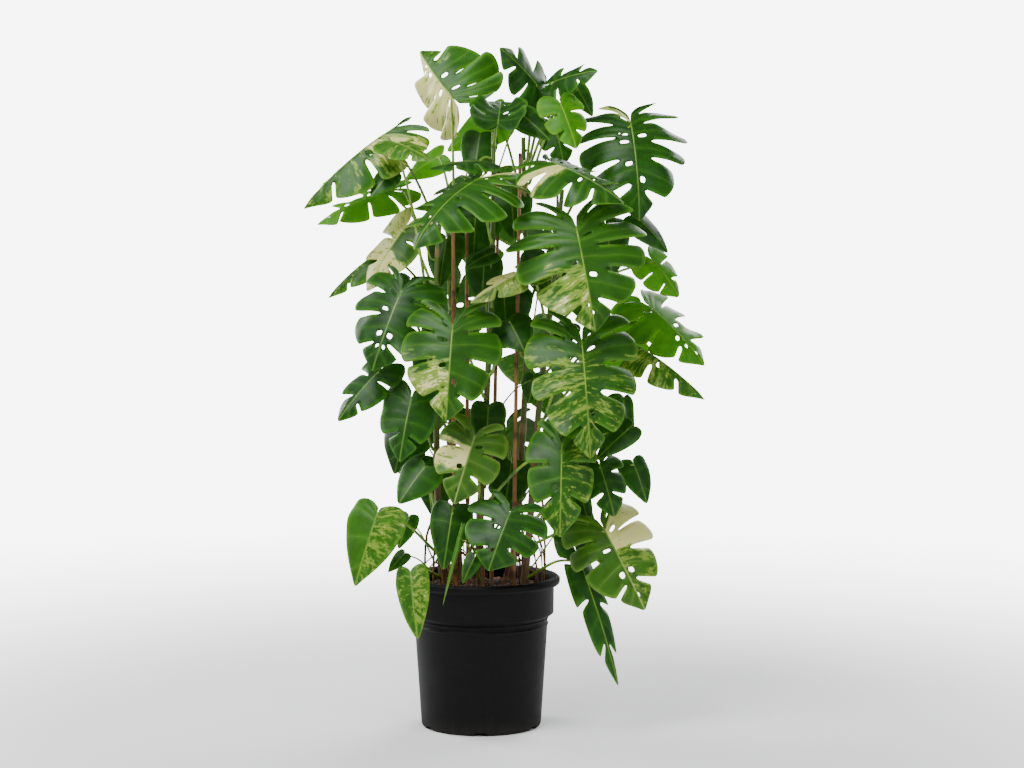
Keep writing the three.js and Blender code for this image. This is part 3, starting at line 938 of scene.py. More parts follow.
def cut_away(bm: BMesh, cutter: BMesh) -> BMesh:
    """Cuts one closed mesh out of another.

    Args:
        bm: The mesh that is cut, which is used up.
        cutter: The mesh that is taken away, which is used up.

    Returns:
        What is left.
    """
    body, tool = [linked("cut", settled_mesh("cut", source)) for source in (bm, cutter)]
    cut = body.modifiers.new("Cut", "BOOLEAN")
    cut.operation = "DIFFERENCE"
    cut.solver = "EXACT"
    cut.object = tool
    result = evaluated(body)
    bpy.data.objects.remove(tool)
    return result


def evaluated(holder: Object) -> BMesh:
    """Applies an object's modifiers and takes the object away.

    Args:
        holder: The object, which is removed.

    Returns:
        Its finished mesh.
    """
    graph = bpy.context.evaluated_depsgraph_get()
    finished = holder.evaluated_get(graph)
    mesh = bpy.data.meshes.new_from_object(finished, preserve_all_data_layers=True, depsgraph=graph)
    bm = bmesh.new()
    bm.from_mesh(mesh)
    bpy.data.meshes.remove(mesh)
    bpy.data.objects.remove(holder)
    return bm


@dataclass
class SoilBed:
    """The compost that fills the pot, with bark chips and coir fibres lying on its uneven top."""

    level: float = SOIL_LEVEL
    crown: float = 8 * MM
    sunk_edge: float = 14 * MM
    crumb: float = 2.2 * MM
    sides: int = 72
    rings: int = 34
    chips: int = 300
    fibres: int = 160
    fibre_points: int = 6
    finish: Finish = field(default_factory=lambda: CoirCompost("damp coir compost"))
    litter_finish: Finish = field(default_factory=lambda: SplitBark("split bark and coir fibre"))

    def height(self, x: float, y: float) -> float:
        """Gives the height of the soil's top.

        Args:
            x: The place across.
            y: The place in depth.

        Returns:
            The height there, with its waves.
        """
        away = math.hypot(x, y)
        crown = self.level + self.crown - 3 * MM * min(1.0, away / (70 * MM))
        crown -= 3 * MM * ramp(away, 70 * MM, 140 * MM)
        across, back = x / MM, y / MM
        wave = 5 * math.sin(across * 0.055 + 1) * math.cos(back * 0.07)
        wave += 3 * math.sin(across * 0.13 - back * 0.11)
        slope = self.sunk_edge * ramp(away, 140 * MM, 182 * MM)
        crumbs = self.crumb * noise.noise(Vector((x, y, 0)) / (9 * MM))
        return crown + wave * MM * (1 - ramp(away, 150 * MM, 182 * MM)) + crumbs - slope

    def build(self) -> list[Object]:
        """Builds the soil and the litter on it.

        Returns:
            The two pieces.
        """
        low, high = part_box("soil")
        collar = high.x
        body = collar * 0.935
        foot = body * 0.88
        rim = collar - 1 * MM
        walls = [
            (0.0, low.z),
            (foot - 8 * MM, low.z),
            (foot - 2 * MM, low.z + 6 * MM),
            (body - 1.5 * MM, 283 * MM),
            (rim, 304 * MM),
            (rim, self.level - 12 * MM),
        ]
        top = [(rim * (1 - i / self.rings), self.level) for i in range(1, self.rings + 1)]
        bm = turned(walls + top, self.sides)
        for vert in bm.verts:
            if vert.co.z > self.level - 5 * MM:
                vert.co.z = self.height(vert.co.x, vert.co.y)
        for face in bm.faces:
            face.smooth = True
        soil = place_piece("soil_bed", bm, [self.finish], ["soil"])
        return [soil, self.litter(collar - 12 * MM)]

    def litter(self, reach: float) -> Object:
        """Scatters bark chips and fibres over the soil.

        Args:
            reach: How far from the middle they lie.

        Returns:
            The piece that holds them all.
        """
        bm = bmesh.new()
        for i in range(self.chips):
            spot = self.spot(i, reach)
            size = (4 + 9 * scatter(i, 3)) * MM
            turn = Matrix.Rotation(scatter(i, 4) * 2 * math.pi, 4, "Z")
            tip = Matrix.Rotation((scatter(i, 5) - 0.5) * 0.9, 4, "X")
            shape = Matrix.Diagonal((size, size * (0.35 + 0.3 * scatter(i, 6)), size * 0.22, 1.0))
            place = Matrix.Translation(spot) @ turn @ tip @ shape
            chip = bmesh.ops.create_icosphere(bm, subdivisions=1, radius=1.0, matrix=place)["verts"]
            for j, vert in enumerate(chip):
                vert.co += Vector((scatter(i, j + 10) - 0.5, scatter(i, j + 30) - 0.5, 0)) * size * 0.5
        for i in range(self.fibres):
            start = self.spot(i + 500, reach)
            way = scatter(i, 50) * 2 * math.pi
            length = (18 + 34 * scatter(i, 51)) * MM
            path = []
            last = self.fibre_points - 1
            for j in range(self.fibre_points):
                bend = way + (scatter(i, 52) - 0.5) * 2.5 * j / last
                step = heading(bend) * length / last
                spot = path[-1] + step if path else start
                spot = spot * min(1.0, reach / max(1e-6, math.hypot(spot.x, spot.y)))
                lift = (1 + 7 * scatter(i, 53) * math.sin(math.pi * j / last)) * MM
                path.append(Vector((spot.x, spot.y, self.height(spot.x, spot.y) + lift)))
            sweep(bm, path, lambda along: (0.7 - 0.35 * along) * MM, 4)
        return place_piece("bark_and_coir", bm, [self.litter_finish], [])

    def spot(self, seed: int, reach: float) -> Vector:
        """Draws a place on the soil's top.

        Args:
            seed: Which place this is.
            reach: How far from the middle it may lie.

        Returns:
            The place.
        """
        away = reach * scatter(seed, 1) ** 0.5
        turn = scatter(seed, 2) * 2 * math.pi
        x, y = away * math.cos(turn), away * math.sin(turn)
        return Vector((x, y, self.height(x, y)))


@dataclass
class BambooCane:
    """One support cane, with a swelling and a dark ring at each of its joints, and a sawn top."""

    place: str
    foot: Triple
    top: Triple
    radius: float = 6 * MM
    taper: float = 0.25
    joint_spacing: float = 190 * MM
    joint_swell: float = 0.14
    joint_sharpness: int = 60
    ring_offset: float = 0.004
    sides: int = 14
    finish: Finish = field(default_factory=lambda: TonkinBamboo("dried bamboo cane"))

    def build(self) -> Object:
        """Builds the cane.

        Returns:
            The piece.
        """
        foot, top = millimetres(self.foot), millimetres(self.top)
        joints = max(3, round((top.z - foot.z) / self.joint_spacing))

        def joint(along: float) -> float:
            """Gives the strength of a joint's swelling for a place along the cane."""
            return abs(math.cos(along * joints * math.pi)) ** self.joint_sharpness

        bow = Vector((scatter(foot.x, 1) - 0.5, scatter(foot.x, 2) - 0.5, 0)) * 4 * MM
        path = smooth_path([foot, (foot + top) / 2 + bow, top], joints * 16)
        bm = bmesh.new()
        sweep(
            bm,
            path,
            lambda along: self.radius * (1 - self.taper * along) * (1 + self.joint_swell * joint(along)),
            self.sides,
            mark_at=lambda along: joint(min(1.0, along + self.ring_offset)),
        )
        return place_piece(f"bamboo_{self.place}", bm, [self.finish], [f"cane_{self.place}"])


class Root(NamedTuple):
    """One aerial root: the height where it leaves its stem, and where it enters the soil."""

    height: float
    x: float
    y: float


class Pale(NamedTuple):
    """A sector of a leaf that leans to cream: its side, its stretch round the outline and how far."""

    side: int
    start: float
    end: float
    lean: float


@dataclass(frozen=True)
class LeafPlan:
    """Where a leaf grows and how it is cut, in millimetres and degrees.

    The stalk starts on a stem at a height. The blade runs from base to tip, its upper side faces face, and
    it is width across, with a number of lobes and of slits on each side. Bend, fold and curl shape it,
    twist tilts its lobes, and rise bows its stalk. Youth makes its green fresher, from 0 on an old leaf to
    1 on a new one.
    """

    stem: str
    start: float
    base: Triple
    tip: Triple
    face: Triple
    width: float
    lobes: int = 3
    slits: int = 0
    look: Look = Look.GREEN
    bend: float = 20.0
    fold: float = 8.0
    curl: float = 22.0
    twist: float = 0.05
    rise: float = 0.12
    youth: float = 0.1
    pale: tuple[Pale, ...] = ()


class Bound(NamedTuple):
    """One bound between two lobes: its place round the outline and the slit that may run along it."""

    along: float
    slit: bool
    start: float
    opening: float


STEM_POINTS = {
    "left": ((-92, -28, 290), (-108, -34, 480), (-118, -20, 860), (-116, -8, 1200), (-106, -2, 1375)),
    "right": ((104, -34, 290), (124, -40, 480), (150, -34, 820), (186, -26, 1130), (214, -14, 1420)),
    "middle": ((8, -62, 290), (-4, -56, 480), (14, -46, 840), (30, -40, 1200), (34, -26, 1570)),
    "back_left": ((-56, 88, 290), (-66, 96, 520), (-84, 88, 900), (-72, 70, 1440)),
    "back_right": ((74, 66, 290), (96, 84, 560), (120, 78, 980), (112, 56, 1560)),
}
STEM_PATHS = {
    name: smooth_path([millimetres(point) for point in points], 108) for name, points in STEM_POINTS.items()
}


def stem_at(name: str, height: float) -> Vector:
    """Finds the point of a stem at a height.

    Args:
        name: The stem's name.
        height: The height in metres.

    Returns:
        The point on the stem's middle line.
    """
    path = STEM_PATHS[name]
    for low, high in zip(path, path[1:]):
        if high.z >= height:
            return low.lerp(high, max(0.0, (height - low.z) / (high.z - low.z)))
    return path[-1].copy()


class Leaf:
    """One leaf: a cut blade that is bent into shape, the midrib under it, and the stalk that carries it.

    Its numbers without a unit are shares of the length, the width or the outline. The two of a slit's start,
    opening or flare are its least value and what is added to it.
    """

    split_outline = (Vector((-0.12, 0.03)), Vector((-0.85, 0.42)), Vector((0.5, 0.85)), Vector((1.0, 0.0)))
    whole_outline = (Vector((-0.05, 0.03)), Vector((-0.5, 0.52)), Vector((0.32, 0.74)), Vector((1.0, 0.0)))
    outline_width = 0.98
    vein_bow = 0.05
    thickness = 1.0 * MM
    fan = 2.8
    rib_end = 0.9
    drip_tip = 0.06
    drip_power = 30
    lobe_spread = 1.35
    lobe_shift = 0.05
    corner = 0.955
    lobe_reach = 1.02
    lobe_roundness = 3.2
    slit_start = (0.24, 0.12)
    slit_opening = (0.007, 0.007)
    slit_round = 0.18
    slit_flare = (0.95, 0.25)
    hole_rows = (1.5, 2.5)
    hole_columns = (1, 4)
    holed_width = 170.0
    hole_rarity = 0.45
    puff = 0.011
    ripple = 0.05
    tilt_spread = 0.07
    pale_stray = 0.07
    pale_edge = 0.06
    youth_spread = 0.25
    margin_share = 0.45
    stalk_out = 18 * MM
    stalk_taper = 0.3
    stalk_steps = 16
    sheath_drop = 14 * MM
    sheath_swell = 0.55
    joint_swell = 0.16
    rib_steps = 12
    rib_sides = 6

    def __init__(self, seed: int, plan: LeafPlan) -> None:
        """Works out a leaf's own axes from its plan.

        Args:
            seed: The leaf's number, which its uneven places are drawn from.
            plan: Where it grows and how it is cut.
        """
        self.seed = seed
        self.plan = plan
        self.base = millimetres(plan.base)
        self.ahead = millimetres(plan.tip) - self.base
        self.chord = self.ahead.length
        self.ahead.normalize()
        facing = Vector(plan.face)
        self.face = (facing - self.ahead * facing.dot(self.ahead)).normalized()
        self.across = self.face.cross(self.ahead)
        self.width = plan.width * MM
        angles = (plan.bend, plan.fold, plan.curl)
        self.bend, self.fold, self.curl = [math.radians(angle) for angle in angles]
        self.rows = 5 + round(plan.width / 40)
        self.columns = 6 if plan.width > 140 else 4
        self.bounds = {side: self.lobe_bounds(side) for side in (1, -1)}

    def lobe_bounds(self, side: int) -> list[Bound]:
        """Divides one side into lobes.

        Args:
            side: 1 or -1.

        Returns:
            The bounds round the outline from the stalk to the tip.
        """
        plan = self.plan
        bounds = []
        for i in range(plan.lobes + 1):
            inner = 0 < i < plan.lobes
            even = 1 - (1 - i / plan.lobes) ** self.lobe_spread
            shift = (scatter(self.seed, i * side) - 0.5) * self.lobe_shift if inner else 0.0
            slit = inner and i > plan.lobes - 1 - plan.slits
            start = self.slit_start[0] + self.slit_start[1] * scatter(self.seed, i * side + 20)
            start = max(1, round(start * self.rows)) / self.rows
            opening = self.slit_opening[0] + self.slit_opening[1] * scatter(self.seed, i * side + 40)
            bounds.append(Bound(even + shift, slit, start, opening))
        return bounds

    def edge_point(self, along: float) -> Vector:
        """Gives a point of the half outline: deeply heart-shaped on a split leaf, and oval on a whole one.

        Args:
            along: How far round the outline the point is, from 0 at the stalk to 1 at the tip.

        Returns:
            The point, in parts of the length and the width.
        """
        p0, p1, p2, p3 = self.split_outline if self.plan.slits else self.whole_outline
        back = 1 - along
        point = p0 * back**3 + p1 * (3 * back**2 * along) + p2 * (3 * back * along**2) + p3 * along**3
        return point + Vector((self.drip_tip * along**self.drip_power, 0.0))

    def flat_place(self, along: float, out: float) -> tuple[float, float]:
        """Lays out a place of the flat blade.

        Args:
            along: How far round the outline the side vein ends.
            out: How far along the vein the place is, from 0 at the midrib to 1 at the edge.

        Returns:
            How far forward and how far sideways the place is, in parts of the length and the width.
        """
        edge = self.edge_point(along)
        root = self.rib_end * along**self.fan
        bow = self.vein_bow * 4 * out * (1 - out) * (1 - along)
        return root * (1 - out) + edge.x * out - bow, edge.y / self.outline_width * out

    def bent_place(self, forward: float, sideways: float, lift: float) -> Vector:
        """Bends a flat place into space: the midrib is an arc and each cross section is another.

        Args:
            forward: How far along the midrib the place is, in parts of the length.
            sideways: How far across it is, in metres.
            lift: How far above the blade it is, in metres.

        Returns:
            The place.
        """
        turn = self.bend * (forward - 0.5)
        arc = self.chord / (2 * math.sin(self.bend / 2))
        middle = self.base + self.ahead * arc * (math.sin(turn) + math.sin(self.bend / 2))
        middle += self.face * arc * (math.cos(turn) - math.cos(self.bend / 2))
        face = self.face * math.cos(turn) + self.ahead * math.sin(turn)
        rate = self.curl / (self.width / 2)
        slope = self.fold + rate * abs(sideways)
        outward = self.across * (1 if sideways >= 0 else -1)
        reach = (math.sin(slope) - math.sin(self.fold)) / rate
        drop = (math.cos(self.fold) - math.cos(slope)) / rate
        normal = face * math.cos(slope) + outward * math.sin(slope)
        return middle + outward * reach - face * drop + normal * lift

    def gap(self, bound: Bound, out: float) -> float:
        """Gives half the width of a slit.

        Args:
            bound: The bound between two lobes that the slit runs along.
            out: How far along the side vein the place is.

        Returns:
            The half width in parts of the outline, which starts round and flares a little.
        """
        if not bound.slit or out <= bound.start:
            return 0.0
        run = (out - bound.start) / (1 - bound.start)
        opening = math.sqrt(1 - (1 - min(1.0, run / self.slit_round)) ** 2)
        return bound.opening * opening * (self.slit_flare[0] + self.slit_flare[1] * run)

    def leaf_place(self, side: int, lobe: int, share: float, row: float) -> Triple:
        """Finds a grid place on the flat blade and how far it is lifted.

        Args:
            side: 1 or -1.
            lobe: The lobe's number from the stalk.
            share: How far across the lobe the place is, from 0 to 1.
            row: How far out it is, in parts of the way to the edge.

        Returns:
            The along and out of flat_place, and the lift in metres.
        """
        before, after = self.bounds[side][lobe], self.bounds[side][lobe + 1]
        first = self.corner if before.slit else 1.0
        last = self.corner if after.slit else 1.0
        ends = first + (last - first) * share
        crown = 1 - abs(2 * share - 1) ** self.lobe_roundness
        cut = before.slit or after.slit
        out = row * (ends + ((self.lobe_reach - ends) * crown if cut else 0.0))
        start = before.along + self.gap(before, out)
        end = after.along - self.gap(after, out)
        along = start + (end - start) * share
        free = 0.0
        if before.slit:
            free -= (1 - share) * ramp(out, before.start, (1 + before.start) / 2)
        if after.slit:
            free += share * ramp(out, after.start, (1 + after.start) / 2)
        tilt = self.plan.twist + self.tilt_spread * (scatter(self.seed, lobe * side + 60) - 0.45)
        lift = tilt * free * out * out
        lift += self.puff * (0.5 - 0.5 * math.cos(4 * math.pi * share)) * math.sin(math.pi * min(1.0, out))
        wave = noise.noise(Vector((along * 7, out * 2, self.seed * 3.1 + side)))
        lift += self.ripple * wave * out * out * ramp(1 - along, 0.0, 0.2)
        return along, out, lift * self.width

    def blade(self) -> BMesh:
        """Cuts, bends and thickens the blade.

        Returns:
            Its closed mesh: material 0 above, 1 below.
        """
        plan = self.plan
        bm = bmesh.new()
        columns = plan.lobes * self.columns
        bmesh.ops.create_grid(bm, x_segments=columns, y_segments=2 * self.rows, size=1.0)
        column_of = bm.verts.layers.int.new("column")
        row_of = bm.verts.layers.int.new("row")
        for vert in bm.verts:
            vert[column_of] = round((vert.co.x + 1) / 2 * columns)
            vert[row_of] = round(vert.co.y * self.rows)
        slits = []
        for edge in bm.edges:
            a, b = edge.verts
            if a[column_of] == b[column_of] and a[column_of] % self.columns == 0:
                side = 1 if a[row_of] + b[row_of] > 0 else -1
                bound = self.bounds[side][a[column_of] // self.columns]
                if bound.slit and min(abs(a[row_of]), abs(b[row_of])) >= round(bound.start * self.rows):
                    slits.append(edge)
        bmesh.ops.split_edges(bm, edges=slits)
        holes = [face for face in bm.faces if self.is_hole(face, column_of, row_of)]
        bmesh.ops.delete(bm, geom=holes, context="FACES")
        self.shape_blade(bm, column_of, row_of)
        return self.thicken(bm)

    def is_hole(self, face: BMFace, column_of: object, row_of: object) -> bool:
        """Tells whether one of the small holes beside the midrib takes a grid face's place.

        Args:
            face: The grid face.
            column_of: The layer of its corners' columns.
            row_of: The layer of its corners' rows.

        Returns:
            Whether the face is left out.
        """
        if self.plan.width < self.holed_width or not self.plan.slits:
            return False
        column = min(vert[column_of] for vert in face.verts)
        row = sum(vert[row_of] for vert in face.verts) / 4
        side = 1 if row > 0 else -1
        lobe = column // self.columns
        if lobe == 0 or abs(row) not in self.hole_rows:
            return False
        spot = self.hole_columns[scatter(self.seed, lobe * side + 80) > 0.5]
        return column % self.columns == spot and scatter(self.seed, lobe * side + 90) > self.hole_rarity

    def shape_blade(self, bm: BMesh, column_of: object, row_of: object) -> None:
        """Moves the grid onto the leaf and keeps the finish's layers and map.

        Args:
            bm: The cut grid.
            column_of: The layer of its columns.
            row_of: The layer of its rows.
        """
        layers = {name: bm.loops.layers.float.new(name) for name in LEAF_LAYERS}
        leaf_map = bm.loops.layers.uv.new("leaf")
        settled = {}
        for face in bm.faces:
            lobe = min(vert[column_of] for vert in face.verts) // self.columns
            side = 1 if sum(vert[row_of] for vert in face.verts) > 0 else -1
            for loop in face.loops:
                vert = loop.vert
                share = vert[column_of] / self.columns - lobe
                row = abs(vert[row_of]) / self.rows
                along, out, lift = self.leaf_place(side, lobe, share, row)
                forward, sideways = self.flat_place(along, out)
                if vert not in settled or side > 0:
                    settled[vert] = self.bent_place(forward, side * sideways * self.width, lift)
                self.mark(loop, layers, (side, lobe, share, row), along, out)
                across = side * (0.5 + out)
                loop[leaf_map].uv = (self.seed * 7.31 + lobe + share, self.seed * 3.17 + across)
        for vert, place in settled.items():
            vert.co = place
        last = [vert for vert in bm.verts if vert[column_of] == self.plan.lobes * self.columns]
        bmesh.ops.remove_doubles(bm, verts=last, dist=WELD)

    def mark(
        self,
        loop: BMLoop,
        layers: dict[str, object],
        place: tuple[int, int, float, float],
        along: float,
        out: float,
    ) -> None:
        """Keeps how far a corner is from the midrib, its side vein and the margin, and how pale it is.

        Args:
            loop: The corner.
            layers: The layers by name.
            place: Its side, lobe, share of the lobe and share of the way out.
            along: Its place round the outline.
            out: Its place along the vein.
        """
        side, lobe, share, row = place
        before, after = self.bounds[side][lobe], self.bounds[side][lobe + 1]
        near, far = [Vector(self.flat_place(bound.along, out)) for bound in (before, after)]
        span = Vector(((far.x - near.x) * self.chord, (far.y - near.y) * self.width)).length / MM
        sideways = self.flat_place(along, out)[1] * self.plan.width
        margin = (1 - row) * self.plan.width * self.margin_share
        if before.slit and out > before.start:
            margin = min(margin, share * span)
        if after.slit and out > after.start:
            margin = min(margin, (1 - share) * span)
        lean = self.plan.look.lean
        strayed = along + self.pale_stray * noise.noise(Vector((out * 3, self.seed * 1.7, side)))
        for _, start, end, strength in [sector for sector in self.plan.pale if sector.side == side]:
            begun = ramp(strayed, start - self.pale_edge, start) if start else 1.0
            ended = ramp(-strayed, -end - self.pale_edge, -end) if end < 1 else 1.0
            lean += strength * begun * ended
        youth = self.plan.youth + self.youth_spread * scatter(self.seed, 5)
        values = (sideways, abs(share - 0.5) * span, margin, lean, youth)
        for name, value in zip(LEAF_LAYERS, values):
            loop[layers[name]] = value

    def thicken(self, bm: BMesh) -> BMesh:
        """Smooths the blade and gives it its two sides.

        Args:
            bm: The bent sheet, which is used up.

        Returns:
            The closed blade.
        """
        holder = linked("blade", settled_mesh("blade", bm, self.plan.look.finishes))
        smooth = holder.modifiers.new("Smooth", "SUBSURF")
        smooth.levels = 1
        smooth.render_levels = 1
        sides = holder.modifiers.new("Sides", "SOLIDIFY")
        sides.thickness = self.thickness
        sides.offset = 0.0
        sides.material_offset = 1
        bm = evaluated(holder)
        for face in bm.faces:
            face.smooth = True
        return bm

    def add_stalk(self, bm: BMesh, radius: float, sides: int) -> None:
        """Adds the stalk and the midrib that it runs on into.

        Args:
            bm: The mesh that they are added to.
            radius: The stalk's radius where it leaves the stem.
            sides: How many sides the stalk has.
        """
        foot = stem_at(self.plan.stem, self.plan.start * MM)
        away = (self.base - foot) * Vector((1, 1, 0))
        away.normalize()
        beside = foot + away * self.stalk_out
        end = self.bent_place(0.05, 0.0, 0.1 * MM)
        middle = beside.lerp(end, 0.55) + UP * ((end - beside).length * self.plan.rise)
        path = smooth_path([beside, middle, end], self.stalk_steps)
        sheath = foot - UP * self.sheath_drop
        path = [sheath, foot.lerp(beside, 0.45) - UP * 4 * MM, *path]

        def thick(along: float) -> float:
            """Gives the stalk's radius: a sheath at its foot and a swollen joint below the blade.

            Args:
                along: The place along the stalk, from 0 at its foot to 1 at the blade.

            Returns:
                The radius there.
            """
            foot_swell = self.sheath_swell * ramp(0.12 - along, 0.0, 0.12)
            joint_swell = self.joint_swell * ramp(along, 0.86, 0.9) * ramp(-along, -0.99, -0.95)
            return radius * (1 - self.stalk_taper * along) * (1 + foot_swell + joint_swell)

        sweep(bm, path, thick, sides, 2)
        rib = []
        for i in range(self.rib_steps + 1):
            sunk = -0.45 * self.rib_radius(i / self.rib_steps)
            rib.append(self.bent_place(0.03 + 0.93 * i / self.rib_steps, 0.0, sunk))
        sweep(bm, rib, self.rib_radius, self.rib_sides, 2)

    def rib_radius(self, along: float) -> float:
        """Gives the midrib's radius for a place along it."""
        thick = 0.6 + 1.5 * min(1.0, self.plan.width / 300)
        return thick * (1 - 0.8 * along) * MM

    def grow(self, stalk_radius: float, stalk_sides: int) -> BMesh:
        """Grows the whole leaf.

        Args:
            stalk_radius: The stalk's radius where it leaves the stem.
            stalk_sides: How many sides the stalk has.

        Returns:
            The leaf's mesh: material 0 above, 1 below and 2 for the stalk.
        """
        bm = self.blade()
        self.add_stalk(bm, stalk_radius, stalk_sides)
        return bm

    def finishes(self) -> list[Finish]:
        """Lists the leaf's finishes in the order of its materials."""
        return [*self.plan.look.finishes, STALK_FINISH]


